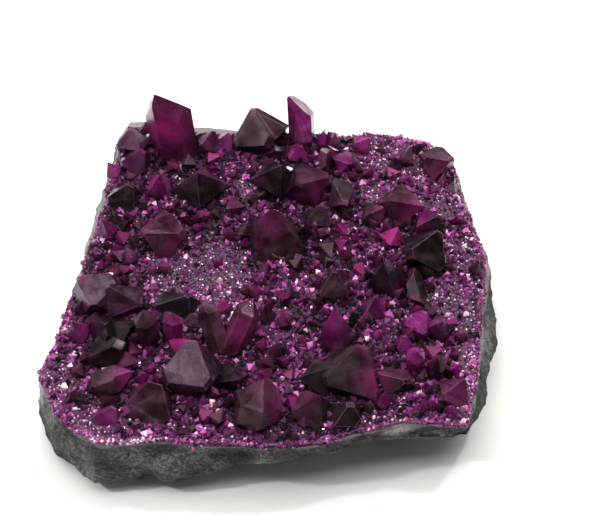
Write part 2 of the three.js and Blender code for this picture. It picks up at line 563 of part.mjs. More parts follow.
// Tells whether a place in plan is on the crust, off its fine-grained patches and clear of the large crystals.
function takesSmallCrystal(x, y) {
  const place = new THREE.Vector2(x, y).sub(CENTRE);
  const inside = place.length() < SMALL_EDGE_SHARE * rimReach(Math.atan2(place.y, place.x));
  const offPatches = SUGAR_PATCHES.every(([cx, cy, radius]) => Math.hypot(x - cx, y - cy) > radius);
  const offLarge = LARGE_CRYSTALS.every(([, , , [cx, cy], halfWidth]) => (
    Math.hypot(x - cx, y - cy) > halfWidth + SMALL_CLEARANCE
  ));
  return inside && offPatches && offLarge;
}

// Places the small crystals evenly but without rows, by a fixed step in each direction, wrapped at the
// square's side.
function smallCrystals() {
  const [smallest, largest] = SMALL_RADIUS;
  const [acrossStep, backStep] = SMALL_STEPS;
  const bodies = [];
  for (let n = 1; n <= SMALL_COUNT; n += 1) {
    const x = CENTRE.x + SMALL_SPREAD * (((n * acrossStep) % 1) - 0.5);
    const y = CENTRE.y + SMALL_SPREAD * (((n * backStep) % 1) - 0.5);
    if (!takesSmallCrystal(x, y)) {
      continue;
    }
    const radius = THREE.MathUtils.lerp(smallest, largest, chance(n) ** 2);
    const form = chance(n + 0.5) < SMALL_PYRAMIDS ? 'pyramid' : 'tablet';
    const length = radius * SMALL_LENGTHS[form];
    const middle = [x, y, crustSwell(x, y) + SMALL_RISE * radius];
    const looks = [360 * chance(n + 0.25), SMALL_TILT * chance(n + 0.75)];
    const planes = crystalPlanes(form, middle, radius, length, looks, 360 * chance(n + 0.1), 1, n);
    bodies.push(crystalBody(planes, ROOT_LEVEL, 0));
  }
  return bodies;
}

// Assembly

const specimen = new THREE.Group();
specimen.add(piece('matrix_rock', rockSlab(), 'rock'));

const bodiesByNode = new Map();
const sockets = [];
LARGE_CRYSTALS.forEach(([node, finish, form, middle, halfWidth, halfLength, looks, turn, stretch = 1], i) => {
  const planes = crystalPlanes(form, middle, halfWidth, halfLength, looks, turn, stretch, i + 1);
  const entry = bodiesByNode.get(node) ?? { finish, bodies: [] };
  entry.bodies.push(crystalBody(planes, ROOT_LEVEL, 0));
  bodiesByNode.set(node, entry);
  sockets.push(crystalBody(planes, ROOT_LEVEL, GAP));
});
bodiesByNode.forEach(({ finish, bodies }, node) => {
  specimen.add(piece(node, geometryOf(joined(bodies)), finish));
});

const crust = largestBody(joined([crustBody(), ...smallCrystals()]).subtract(joined(sockets)));
specimen.add(piece('druse_crust', geometryOf(crust), 'crust'));

// The specimen stands on the table with its bounding box centred on the origin.
const box = new THREE.Box3().setFromObject(specimen);
specimen.position.set(-(box.min.x + box.max.x) / 2, -(box.min.y + box.max.y) / 2, -box.min.z);

export default specimen;
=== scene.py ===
"""Looks of a loose mineral specimen: grey-green rock, purple crust, and large and fine crystals.

Blender works in metres. The numbers here are millimetres, turned into metres when a mesh is made.
"""

import itertools
import json
import logging
import math
from dataclasses import dataclass, field, fields
from enum import Enum, IntEnum

import bmesh
import bpy
import numpy as np
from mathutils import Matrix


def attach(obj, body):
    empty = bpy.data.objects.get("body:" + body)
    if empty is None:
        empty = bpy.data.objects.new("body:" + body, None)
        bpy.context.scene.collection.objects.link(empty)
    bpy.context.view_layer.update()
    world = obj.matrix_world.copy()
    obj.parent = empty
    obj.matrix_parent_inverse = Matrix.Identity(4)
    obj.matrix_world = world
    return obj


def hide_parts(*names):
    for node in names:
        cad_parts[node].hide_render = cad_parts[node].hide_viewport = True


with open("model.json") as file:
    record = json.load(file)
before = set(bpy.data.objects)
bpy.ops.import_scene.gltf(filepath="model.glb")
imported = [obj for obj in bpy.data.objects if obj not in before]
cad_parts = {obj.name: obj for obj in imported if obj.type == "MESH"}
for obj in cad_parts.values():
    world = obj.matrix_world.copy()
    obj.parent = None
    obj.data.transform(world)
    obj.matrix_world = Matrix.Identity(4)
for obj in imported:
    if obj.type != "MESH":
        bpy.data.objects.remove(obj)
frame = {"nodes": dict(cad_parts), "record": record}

log = logging.getLogger("specimen")

MM = 0.001
Array = np.ndarray
Colour = tuple[float, float, float]
Place = tuple[float, float, float]
Range = tuple[float, float]
Stops = tuple[float, float, float]
Socket = bpy.types.NodeSocket

# How the solids were laid out: the middle of their rings, and what their places are moved by in this frame
CENTRE = np.array([0.694, -1.044])
LAYOUT_SHIFT = np.array([1.306, 2.044])

# Levels above the table, and half the side of the square that holds the crust in plan
ROCK_RIM = 13.6
BED_LEVEL = 15.2
HALF_PLAN = 46

# Swells and hollows of the crust, as in the solids: x, y, radius, height
SWELLS = np.array([
    (-26, 31, 8, 0.9), (-1, 33, 9, 0.8), (12, 22, 6, 0.6), (-18, 20, 6, 0.5), (27, 15, 7, 0.5),
    (36.2, 18.6, 3.6, 1.7), (16, -26, 8, 0.8), (-12, -22, 8, 0.9), (-28, -15, 9, 0.6), (28, -6, 8, 0.4),
    (-10.2, -8.2, 1.9, 1.1), (-5.0, -10.8, 1.8, 0.9), (8.4, -18.8, 2.0, 1.1), (4.3, -17.2, 1.5, 0.9),
    (-36, -27, 5, -0.5), (1.5, 16, 4.5, -0.9), (-17, 13.5, 4.0, -0.7), (24, -32, 4, 0.4),
])

# Small crystals that are grown together with the crust, as in the solids: how many, the step to the next one,
# the side of the square that they are spread over, and their radius
SMALL_COUNT = 100
SMALL_STEPS = np.array([0.7548776662, 0.5698402910])
SMALL_SPREAD = 90.0
SMALL_RADIUS = (1.2, 2.3)

# Fine-grained patches of the crust: x, y, radius
SUGAR_PATCHES = np.array([
    (-13, -1, 11), (24, 33, 7), (38, -8, 7), (37, 4, 5), (-38, -26, 6),
    (-6, 22, 3), (40, -21, 5), (36, 17, 6), (33, 27, 5), (14, -42, 5),
    (28, -39, 5), (-9, -42, 5), (-30, -36, 5), (24, 19, 5), (2, -13, 4),
])

# Where the crust's grains are lighter or darker than elsewhere: x, y, radius, amount
TONE_SPOTS = np.array([
    (28, -35, 8, 0.20), (36, -30, 6, 0.18), (-8.5, -12.5, 4.5, 0.20), (33.5, 22.5, 5, 0.14),
    (28, 31, 5, 0.10), (-22, -38, 6, 0.14), (-40, -14, 5, 0.12), (17, -37, 5, 0.10),
    (-5, -1, 5, -0.12), (-18, -2, 4, -0.14), (-12, 6.5, 4, -0.10), (-9, 18.5, 5, -0.12),
    (12.5, 5.5, 4.5, -0.14), (8, 10, 5, -0.12), (-21, 12, 4, -0.10),
])

# Where the crust's edge is palest: x, y, radius
EDGE_VEIN = np.array([(-25.5, -40.0, 7.5)])

# Painted glow where the large crystals are thin or clear, for light that comes through them: x, y, z, radius,
# strength
PAINTED_GLOWS = np.array([
    (-19.6, 3.6, 15.8, 2.6, 1.0), (-0.6, 5.6, 20.6, 2.2, 0.9), (3.6, 33.0, 27.0, 6.0, 0.5),
    (4.6, 28.2, 17.0, 2.6, 1.0), (7.2, 17.0, 17.5, 3.2, 0.8), (28.4, 10.4, 16.8, 3.4, 1.0),
    (21.7, 11.4, 16.6, 1.7, 0.9), (34.7, 23.6, 16.0, 2.8, 0.8), (10.2, -19.6, 22.0, 3.3, 1.0),
    (18.6, -29.8, 17.6, 2.8, 0.7), (25.8, -25.5, 19.0, 3.0, 0.9), (27.2, -16.4, 17.0, 3.0, 0.9),
    (21.6, -12.0, 17.6, 3.0, 0.8), (-25.4, -28.8, 17.8, 2.7, 1.0), (-17.4, -19.6, 19.5, 2.8, 0.9),
    (-5.0, -21.4, 20.4, 3.4, 0.8), (0.6, -35.4, 17.6, 2.8, 0.9), (-35.4, -12.1, 16.0, 3.0, 0.8),
    (-22.6, 31.0, 24.0, 8.5, 0.85), (31.0, -27.0, 17.0, 2.0, 0.4), (-34.0, 9.1, 16.0, 3.0, 0.8),
    (-24.1, 18.6, 18.0, 2.6, 0.8), (14.0, 25.0, 16.4, 2.6, 0.7), (24.8, -7.9, 16.0, 1.8, 0.8),
    (-27.4, -15.0, 16.0, 2.0, 0.7), (7.4, -34.1, 17.0, 2.0, 0.5), (17.3, -22.4, 17.6, 2.0, 1.0),
    (24.6, -21.0, 16.6, 2.0, 0.6), (33.7, -26.6, 16.8, 2.2, 1.0), (-23.5, -28.2, 17.0, 2.0, 0.9),
    (18.5, 32.0, 16.8, 2.2, 1.0), (10.0, 33.0, 17.4, 2.0, 0.8), (-10.7, 32.8, 16.6, 2.2, 0.6),
    (-28.9, -36.6, 15.6, 2.4, 0.6), (-34.1, 24.2, 17.0, 2.6, 1.0), (-0.4, 28.6, 16.2, 2.4, 0.7),
    (-35.8, -17.4, 16.6, 2.6, 0.8), (33.5, -32.0, 17.0, 4.5, 0.4), (24.0, -38.0, 17.0, 4.0, 0.4),
])

# Shares of a face's direction in the number that picks its painted shade
PAINTED_SHADE_WEIGHTS = np.array([17.0, 43.0, 71.0])

# Sizes of the forms for a half width of 1: how far out a lying octahedron's sides are at mid height, how
# much they lean, how far out a point's edges are, where they end, and how far a pyramid's faces bulge
TABLET_SIDE = 0.86 / 0.943
TABLET_LEAN = 0.265
POINT_RIM = 1.03
POINT_SHOULDER = 0.62
FACE_RISE = 0.12


class Form(Enum):
    """Shapes that the finer crystals grow in."""

    PYRAMID = "octahedron that stands on a corner"
    TABLET = "flat octahedron that lies on a face"
    POINT = "six-sided prism with pointed ends"


class NoiseSeed(IntEnum):
    """Starts of the noises' random values, one for each use."""

    ROCK_CHIPS = 3
    ROCK_LEDGES = 4
    ROCK_GRAINS = 5
    ROCK_SCUFFS = 6
    BED_LUMPS = 8
    BED_EDGE = 9
    CRYSTAL_ZONES = 11
    EDGE_WANDER = 12
    EDGE_DROP = 13
    DARK_PATCHES = 14


class DrawSeed(IntEnum):
    """Starts of the random draws, one for each group of pieces."""

    GRAINS = 5
    COARSE_GRAINS = 6
    EDGE_GRAINS = 7
    MIDDLE_SIZED = 8
    GROWTH_STEPS = 41


# Numbers and noise

def chance(n: Array) -> Array:
    """Repeatable values from 0 to 1: the broken part of a large multiple of the sine of each number."""
    wave = np.sin(n * 12.9898) * 43758.5453
    return wave - np.floor(wave)


def smooth_step(low: float, high: float, value: Array) -> Array:
    """Runs from 0 at low to 1 at high, level at both ends."""
    part = np.clip((value - low) / (high - low), 0, 1)
    return part * part * (3 - 2 * part)


def direction(compass: Array, off_upright: Array) -> Array:
    """Unit vectors from compass directions and angles off upright, both in degrees."""
    turn, tilt = np.radians(compass), np.radians(off_upright)
    return np.stack([np.sin(tilt) * np.cos(turn), np.sin(tilt) * np.sin(turn), np.cos(tilt)], axis=-1)


def circle(angle: Array) -> Array:
    """Unit vectors in plan at angles in radians."""
    return np.stack([np.cos(angle), np.sin(angle)], axis=1)


def turned(x: Array, y: Array, angle: Array | float) -> tuple[Array, Array]:
    """Turns places in plan about the origin by angles in radians."""
    return x * np.cos(angle) - y * np.sin(angle), x * np.sin(angle) + y * np.cos(angle)


def unit(vectors: Array) -> Array:
    """Gives vectors a length of 1, apart from those that have no length."""
    return vectors / np.maximum(np.linalg.norm(vectors, axis=1, keepdims=True), 1e-12)


def fading(points: Array, spots: Array) -> Array:
    """Tells how near points are to round spots: a bell curve of the distance as a share of the spot's radius.

    Args:
        points: Places in plan or in space, one in each row.
        spots: One spot in each row: its place and then its radius.

    Returns:
        Values from 0 to 1, with a row for each point and a column for each spot.
    """
    size = points.shape[1]
    away = np.linalg.norm(points[:, None] - spots[:, :size], axis=2)
    return np.exp(-(away / spots[:, size]) ** 2)


@dataclass(frozen=True)
class Noise:
    """Smooth noise in space: random values at the corners of a lattice of cubes, blended inside each cube."""

    seed: NoiseSeed
    cells: int = 32

    def at(self, points: Array, size: float) -> Array:
        """Gives the noise at points, for cubes of one size.

        Args:
            points: Places in mm, one in each row.
            size: Side of a cube in mm.

        Returns:
            Values from -1 to 1.
        """
        table = np.random.default_rng(self.seed).uniform(-1, 1, (self.cells,) * 3)
        place = points / size
        low = np.floor(place).astype(int)
        part = place - low
        part = part * part * (3 - 2 * part)
        total = np.zeros(len(points))
        for corner in itertools.product((0, 1), repeat=3):
            cell = (low + corner) % self.cells
            weight = np.prod(np.where(corner, part, 1 - part), axis=1)
            total += weight * table[cell[:, 0], cell[:, 1], cell[:, 2]]
        return total

    def layered(self, points: Array, size: float, layers: int) -> Array:
        """Sums layers of noise, each half as large and half as strong as the one before."""
        return sum(self.at(points + 7.3 * k, size / 2**k) / 2**k for k in range(layers))

    def over(self, places: Array, size: float, layers: int) -> Array:
        """Gives layered noise at places in plan."""
        return self.layered(np.column_stack([places, np.zeros(len(places))]), size, layers)


# Meshes

def node_arrays(name: str) -> tuple[Array, Array]:
    """Reads a solid of the frame.

    Args:
        name: The node.

    Returns:
        Its corners in mm, each once, and its triangles as numbers of corners.
    """
    mesh = frame["nodes"][name].data
    mesh.calc_loop_triangles()
    places = np.empty(3 * len(mesh.vertices), np.float32)
    mesh.vertices.foreach_get("co", places)
    corners = np.empty(3 * len(mesh.loop_triangles), np.int32)
    mesh.loop_triangles.foreach_get("vertices", corners)
    points, number = np.unique(np.round(places.reshape(-1, 3) / MM, 3), axis=0, return_inverse=True)
    triangles = number.reshape(-1)[corners].reshape(-1, 3)
    whole = (triangles != np.roll(triangles, 1, axis=1)).all(axis=1)
    return points.astype(float), triangles[whole]


def split_in_four(points: Array, triangles: Array, times: int) -> tuple[Array, Array]:
    """Splits each triangle into four at the middles of its edges, which neighbours share.

    Args:
        points: The mesh's points.
        triangles: Its triangles.
        times: How often this is done.

    Returns:
        Points and triangles. The parts of a triangle follow each other.
    """
    for _ in range(times):
        edges = np.sort(triangles[:, [[0, 1], [1, 2], [2, 0]]].reshape(-1, 2), axis=1)
        pairs, number = np.unique(edges, axis=0, return_inverse=True)
        middle = len(points) + number.reshape(-1, 3)
        a, b, c = triangles.T
        ab, bc, ca = middle.T
        triangles = np.stack([a, ab, ca, ab, b, bc, ca, bc, c, ab, bc, ca], axis=1).reshape(-1, 3)
        points = np.concatenate([points, points[pairs].mean(axis=1)])
    return points, triangles


def with_middles(points: Array, triangles: Array, rise: float) -> tuple[Array, Array]:
    """Splits each triangle in three at its middle, which moves away from the origin.

    Args:
        points: The form's corners.
        triangles: Its triangles.
        rise: How far a middle moves, as a share of its distance.

    Returns:
        Points and triangles.
    """
    middles = points[triangles].mean(axis=1) * (1 + rise)
    number = len(points) + np.arange(len(triangles))
    a, b, c = triangles.T
    split = np.stack([a, b, number, b, c, number, c, a, number], axis=1).reshape(-1, 3)
    return np.concatenate([points, middles]), split


def face_directions(points: Array, triangles: Array) -> Array:
    """Gives each triangle's direction outwards, as long as twice its area: the product of two sides."""
    a, b, c = (points[triangles[:, k]] for k in range(3))
    return np.cross(b - a, c - a)


def corner_directions(points: Array, triangles: Array) -> Array:
    """Gives each point's direction outwards: the mean of the triangles around it, weighted by their areas.

    Args:
        points: The mesh's points.
        triangles: Its triangles.

    Returns:
        Unit vectors.
    """
    faces = face_directions(points, triangles)
    total = np.zeros_like(points)
    for k in range(3):
        np.add.at(total, triangles[:, k], faces)
    return unit(total)


def painted_facet_shades(points: Array, triangles: Array) -> Array:
    """Gives each triangle a repeatable value from 0 to 1 by its direction, for painted shade and sheen that
    differ by face.
    """
    return chance(np.round(unit(face_directions(points, triangles)) @ PAINTED_SHADE_WEIGHTS, 1))


def in_scene(name: str, data: bpy.types.ID) -> bpy.types.Object:
    """Puts a mesh, a lamp or a camera into the scene, and gives its object."""
    thing = bpy.data.objects.new(name, data)
    bpy.context.scene.collection.objects.link(thing)
    return thing


def new_piece(name: str, points: Array, triangles: Array, material: bpy.types.Material,
              smooth: bool = False) -> bpy.types.Object:
    """Makes an object that rides on the specimen.

    Args:
        name: The object's name.
        points: Places in mm.
        triangles: Numbers of points, three to a row.
        material: Its material.
        smooth: Whether its shading runs smoothly over its edges.

    Returns:
        The object, at the world's origin.
    """
    mesh = bpy.data.meshes.new(name)
    mesh.vertices.add(len(points))
    mesh.vertices.foreach_set("co", (points * MM).astype(np.float32).ravel())
    mesh.loops.add(triangles.size)
    mesh.loops.foreach_set("vertex_index", triangles.astype(np.int32).ravel())
    mesh.polygons.add(len(triangles))
    mesh.polygons.foreach_set("loop_start", np.arange(0, triangles.size, 3, dtype=np.int32))
    mesh.polygons.foreach_set("use_smooth", np.full(len(triangles), smooth))
    mesh.update(calc_edges=True)
    mesh.materials.append(material)
    piece = in_scene(name, mesh)
    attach(piece, "root")
    log.info("%s: %d triangles", name, len(triangles))
    return piece


def add_values(piece: bpy.types.Object, name: str, values: Array, domain: str = "POINT") -> None:
    """Stores one number for each point, or for each corner of a face, that the piece's material reads."""
    layer = piece.data.attributes.new(name, "FLOAT", domain)
    layer.data.foreach_set("value", values.astype(np.float32).ravel())


# Places on the crust

def bed_level(places: Array) -> Array:
    """Gives the crust's level: a mean level, two waves, and round swells that fade outwards.

    Args:
        places: Places in plan.

    Returns:
        Levels above the table.
    """
    laid_out = places + LAYOUT_SHIFT
    x, y = laid_out.T
    waves = 0.25 * np.sin(x / 5.3 + 1) * np.cos(y / 6.1) + 0.2 * np.sin((x + y) / 3.7)
    return BED_LEVEL + waves + fading(laid_out, SWELLS) @ SWELLS[:, 3]


def sugar_share(places: Array) -> Array:
    """Tells how much places in plan belong to a fine-grained patch, from 0 to 1."""
    away = np.linalg.norm((places + LAYOUT_SHIFT)[:, None] - SUGAR_PATCHES[:, :2], axis=2)
    return 1 - smooth_step(0.75, 1.15, (away / SUGAR_PATCHES[:, 2]).min(axis=1))


def tone_shift(places: Array) -> Array:
    """Tells how much lighter the crust's grains are at places in plan: the sum of the fading tone spots."""
    return fading(places, TONE_SPOTS) @ TONE_SPOTS[:, 3]


def bearing(places: Array) -> Array:
    """Gives the angles in radians at which places in plan are seen from the crust's middle."""
    x, y = (places - CENTRE).T
    return np.arctan2(y, x)


@dataclass
class Outline:
    """The crust's outer edge, read from the corners of the solid's edge ring."""

    ring_points: int = 66
    corners: Array = field(init=False)
    angles: Array = field(init=False)
    reaches: Array = field(init=False)
    levels: Array = field(init=False)

    def __post_init__(self) -> None:
        """Finds the solid's outermost corner in each direction of the ring."""
        self.corners, _ = node_arrays("druse_crust")
        plan = self.corners[:, :2]
        reach = np.linalg.norm(plan - CENTRE, axis=1)
        angle = bearing(plan)
        sector = np.floor((angle + np.pi) / (2 * np.pi) * self.ring_points).astype(int) % self.ring_points
        order = np.lexsort((-reach, sector))
        outer = order[np.unique(sector[order], return_index=True)[1]]
        outer = outer[np.argsort(angle[outer])]
        self.angles = angle[outer]
        self.reaches = reach[outer]
        self.levels = self.corners[outer, 2]

    def reach(self, angle: Array) -> Array:
        """Gives the edge's distance from the middle in each direction."""
        return np.interp(angle, self.angles, self.reaches, period=2 * np.pi)

    def share(self, places: Array) -> Array:
        """Tells how far out places are, as a share of the way from the middle to the edge."""
        return np.linalg.norm(places - CENTRE, axis=1) / self.reach(bearing(places))

    def level(self, places: Array) -> Array:
        """Gives the edge's level in the direction of each place."""
        return np.interp(bearing(places), self.angles, self.levels, period=2 * np.pi)


def solid_share(points: Array, corners: Array, triangles: Array) -> Array:
    """Tells which points are inside a closed solid.

    The solid angles that its triangles cover, as seen from the point, sum up to a full sphere inside and to
    nothing outside.

    Args:
        points: Places in mm.
        corners: The solid's corners.
        triangles: Its triangles.

    Returns:
        The share of the sphere that is covered, from 0 to 1.
    """
    a, b, c = (corners[triangles[:, k]][None] - points[:, None] for k in range(3))
    la, lb, lc = (np.linalg.norm(v, axis=2) for v in (a, b, c))
    over = np.einsum("ijk,ijk->ij", a, np.cross(b, c))
    under = (la * lb * lc + np.einsum("ijk,ijk->ij", a, b) * lc
             + np.einsum("ijk,ijk->ij", b, c) * la + np.einsum("ijk,ijk->ij", c, a) * lb)
    return np.abs(np.arctan2(over, under).sum(axis=1)) / (2 * np.pi)


# Crystals of a form

def form_arrays(form: Form) -> tuple[Array, Array]:
    """Gives the corners and triangles of one crystal with a half width and a half length of 1.

    The standing octahedron has a corner on each axis. The lying one has six corners above and six below,
    where its flat top and bottom cut its six sides, which lean in and out by turns. Its bottom is its top,
    turned by a sixth and upside down. The point has six edges and a corner at each end.

    Args:
        form: The form.

    Returns:
        Points and triangles, closed, with the faces outwards.
    """
    if form is Form.PYRAMID:
        points = np.array([(1, 0, 0), (0, 1, 0), (-1, 0, 0), (0, -1, 0), (0, 0, 1), (0, 0, -1)], float)
        side = np.arange(4)
        after = (side + 1) % 4
        upper = np.stack([side, after, np.full(4, 4)], axis=1)
        lower = np.stack([after, side, np.full(4, 5)], axis=1)
        return points, np.concatenate([upper, lower])
    ring = np.arange(6)
    after = (ring + 1) % 6
    if form is Form.TABLET:
        sixth = math.radians(60)
        lean = TABLET_LEAN * np.where(ring % 2 == 0, -1, 1)
        out = TABLET_SIDE + lean
        along = (TABLET_SIDE - lean - out * math.cos(sixth)) / math.sin(sixth)
        x, y = turned(out, along, sixth * ring)
        top = np.column_stack([x, y, np.ones(6)])
        bottom = np.roll(np.column_stack([*turned(x, y, sixth), -np.ones(6)]), 1, axis=0)
        points = np.concatenate([top, bottom])
        cap = np.stack([np.zeros(4, int), ring[1:5], ring[2:]], axis=1)
        ends = [cap, 6 + cap[:, ::-1]]
    else:
        rim = POINT_RIM * circle(np.radians(60 * ring + 30))
        top = np.column_stack([rim, np.full(6, POINT_SHOULDER)])
        points = np.concatenate([top, top * (1, 1, -1), [(0, 0, 1), (0, 0, -1)]])
        ends = [
            np.stack([ring, after, np.full(6, 12)], axis=1),
            np.stack([6 + after, 6 + ring, np.full(6, 13)], axis=1),
        ]
    first = np.stack([ring, 6 + ring, 6 + after], axis=1)
    second = np.stack([ring, 6 + after, after], axis=1)
    return points, np.concatenate([*ends, first, second])


@dataclass
class Growth:
    """A growth of crystals of one form. Each field has one entry, or one row, for each crystal."""

    middles: Array
    axes: Array
    turns: Array
    half_widths: Array
    half_lengths: Array
    tints: Array

    def columns(self) -> list[Array]:
        """Gives the fields' arrays in their order."""
        return [getattr(self, column.name) for column in fields(self)]

    def chosen(self, which: Array) -> "Growth":
        """Gives the crystals that a mask or a list of numbers picks."""
        return Growth(*(column[which] for column in self.columns()))

    def joined(self, other: "Growth") -> "Growth":
        """Gives the crystals of both growths."""
        return Growth(*(np.concatenate(pair) for pair in zip(self.columns(), other.columns())))

    def arrays(self, form: Form, uneven: float = 0.0) -> tuple[Array, Array, Array, Array]:
        """Works out all crystals as one mesh.

        Each crystal's corners are the form's, moved a little at random, scaled by its half width and half
        length, turned about its axis, and tilted by the shortest turn from upright to its axis. Uneven
        pyramids also have faces that are raised in their middles.

        Args:
            form: The form of these crystals.
            uneven: How far corners move, as a share of the half width.

        Returns:
            Points, triangles, one tint for each point, and how high each is in its crystal, from -1 to 1.
        """
        corners, faces = form_arrays(form)
        if uneven and form is Form.PYRAMID:
            corners, faces = with_middles(corners, faces, FACE_RISE)
        count = len(self.turns)
        rng = np.random.default_rng(count)
        moved = corners[None] + rng.uniform(-uneven, uneven, (count, *corners.shape))
        scaled = moved * np.stack([self.half_widths, self.half_widths, self.half_lengths], axis=1)[:, None]
        x, y = turned(scaled[..., 0], scaled[..., 1], np.radians(self.turns)[:, None])
        local = np.stack([x, y, scaled[..., 2]], axis=2)
        bend = np.cross((0.0, 0.0, 1.0), self.axes)[:, None]
        once = np.cross(bend, local)
        tilted = local + once + np.cross(bend, once) / (1 + self.axes[:, 2])[:, None, None]
        points = (tilted + self.middles[:, None]).reshape(-1, 3)
        numbers = (faces[None] + len(corners) * np.arange(count)[:, None, None]).reshape(-1, 3)
        return points, numbers, np.repeat(self.tints, len(corners)), np.tile(corners[:, 2], count)


# Shader parts

@dataclass
class Shader:
    """Adds and links the nodes of one material or node group."""

    tree: bpy.types.NodeTree

    def add(self, kind: str, inputs: dict | None = None, **settings: object) -> bpy.types.Node:
        """Adds a node.

        Args:
            kind: The node's type.
            inputs: Values, or sockets of other nodes, by input name or number.
            settings: The node's own settings.

        Returns:
            The node.
        """
        node = self.tree.nodes.new(kind)
        for name, value in settings.items():
            setattr(node, name, value)
        for key, value in (inputs or {}).items():
            if isinstance(value, Socket):
                self.tree.links.new(value, node.inputs[key])
            else:
                node.inputs[key].default_value = value
        return node

    def math(self, operation: str, *values: Socket | float) -> Socket:
        """Adds a math node on up to three values and gives its result."""
        return self.add("ShaderNodeMath", dict(enumerate(values)), operation=operation).outputs[0]

    def mix(self, share: Socket | float, first: Socket | Colour, second: Socket | Colour) -> Socket:
        """Mixes two colours.

        Args:
            share: The second colour's share.
            first: The first colour.
            second: The second colour.

        Returns:
            The mixed colour.
        """
        first, second = (c if isinstance(c, Socket) else (*c, 1) for c in (first, second))
        return self.add("ShaderNodeMix", {0: share, 6: first, 7: second}, data_type="RGBA").outputs[2]

    def ramp(self, value: Socket, stops: list[tuple[float, Colour]]) -> Socket:
        """Turns a value into a colour.

        Args:
            value: The value.
            stops: Places on the ramp and their colours.

        Returns:
            The colour.
        """
        node = self.add("ShaderNodeValToRGB", {0: value})
        elements = node.color_ramp.elements
        while len(elements) < len(stops):
            elements.new(0.5)
        for element, (place, colour) in zip(elements, stops):
            element.position = place
            element.color = (*colour, 1)
        return node.outputs[0]

    def spread(self, value: Socket, source: Range, target: Range, **settings: object) -> Socket:
        """Carries a range of a value over to another range, and stops at its ends.

        Args:
            value: The value.
            source: The range that it is read over.
            target: The range that it is given.
            settings: The node's own settings.

        Returns:
            The new value.
        """
        inputs = {"Value": value, "From Min": source[0], "From Max": source[1]}
        inputs |= {"To Min": target[0], "To Max": target[1]}
        return self.add("ShaderNodeMapRange", inputs, **settings).outputs[0]

    def noise(self, place: Socket, size: float, detail: float = 3.0) -> Socket:
        """Gives noise from 0 to 1, for lumps of one size in mm."""
        inputs = {"Vector": place, "Scale": 1 / (size * MM), "Detail": detail}
        return self.add("ShaderNodeTexNoise", inputs).outputs[0]

    def bump(self, height: Socket, strength: float, distance: float) -> Socket:
        """Gives normals that follow a height, which is a distance in mm at 1."""
        inputs = {"Height": height, "Strength": strength, "Distance": distance * MM}
        return self.add("ShaderNodeBump", inputs).outputs[0]

    def place(self) -> Socket:
        """Gives the place on the object, in metres."""
        return self.add("ShaderNodeTexCoord").outputs["Object"]

    def attribute(self, name: str) -> Socket:
        """Gives a number that the mesh stores."""
        return self.add("ShaderNodeAttribute", attribute_name=name).outputs["Fac"]

    def surface(self, colour: Socket | Colour, roughness: Socket | float, others: dict | None = None) -> None:
        """Adds the material's surface and sends it to the output.

        Args:
            colour: Its colour.
            roughness: Its roughness.
            others: Its other values and sockets by input name.
        """
        colour = colour if isinstance(colour, Socket) else (*colour, 1)
        inputs = {"Base Color": colour, "Roughness": roughness, **(others or {})}
        shader = self.add("ShaderNodeBsdfPrincipled", inputs)
        self.tree.links.new(shader.outputs[0], self.tree.nodes["Output"].inputs["Surface"])


def new_group(name: str, inputs: dict[str, float], outputs: list[str]) -> tuple[bpy.types.NodeTree, Shader]:
    """Starts a node group.

    Args:
        name: Its name.
        inputs: Its number inputs and their values.
        outputs: Its number outputs.

    Returns:
        The group and the shader that adds to it.
    """
    tree = bpy.data.node_groups.new(name, "ShaderNodeTree")
    for label, value in inputs.items():
        socket = tree.interface.new_socket(label, in_out="INPUT", socket_type="NodeSocketFloat")
        socket.default_value = value
    for label in outputs:
        tree.interface.new_socket(label, in_out="OUTPUT", socket_type="NodeSocketFloat")
    return tree, Shader(tree)


def growth_line_group() -> bpy.types.NodeTree:
    """Makes the growth lines of a crystal face: bands of uneven width that run along one of its edges.

    Returns:
        A group with the height of the lines, a cloudiness that changes slowly over the crystal, and streaks.
    """
    inputs = {"Line width": 0.3, "Cloud size": 3.0}
    tree, shader = new_group("growth_lines", inputs, ["Height", "Cloud", "Streak"])
    given = shader.add("NodeGroupInput")
    across = shader.math("DIVIDE", shader.attribute("growth"), given.outputs[0])
    line_inputs = {"W": across, "Detail": 2.0, "Roughness": 0.7}
    lines = shader.add("ShaderNodeTexNoise", line_inputs, noise_dimensions="1D")
    place = shader.place()
    cloud_scale = shader.math("DIVIDE", 1 / MM, given.outputs[1])
    cloud = shader.add("ShaderNodeTexNoise", {"Vector": place, "Scale": cloud_scale, "Detail": 3.0})
    drawn_out = shader.add("ShaderNodeVectorMath", {0: place, 1: (1.3, 0.8, 1.0)}, operation="MULTIPLY")
    streak = shader.noise(drawn_out.outputs[0], 1.3, 5.0)
    shader.add("NodeGroupOutput", {0: lines.outputs[0], 1: cloud.outputs[0], 2: streak})
    return tree


def speckle_group() -> bpy.types.NodeTree:
    """Makes the grain of the rock: mineral grains, each a little lighter or darker, in larger spots.

    Returns:
        A group with the grains' lightness and the height of the broken surface.
    """
    tree, shader = new_group("rock_grain", {"Grain size": 0.4}, ["Light", "Height"])
    given = shader.add("NodeGroupInput")
    place = shader.place()
    scale = shader.math("DIVIDE", 1 / MM, given.outputs[0])
    grains = shader.add("ShaderNodeTexVoronoi", {"Vector": place, "Scale": scale})
    spot_scale = shader.math("MULTIPLY", scale, 0.8)
    spot_inputs = {"Vector": place, "Scale": spot_scale, "Detail": 6.0, "Roughness": 0.7}
    spots = shader.add("ShaderNodeTexNoise", spot_inputs).outputs[0]
    grain_light = shader.add("ShaderNodeSeparateColor", {0: grains.outputs["Color"]}).outputs[0]
    light = shader.math("MULTIPLY_ADD", grain_light, 0.25, shader.math("MULTIPLY", spots, 0.75))
    height = shader.math("MULTIPLY_ADD", grain_light, 0.12, spots)
    shader.add("NodeGroupOutput", {0: light, 1: height})
    return tree


# Finishes

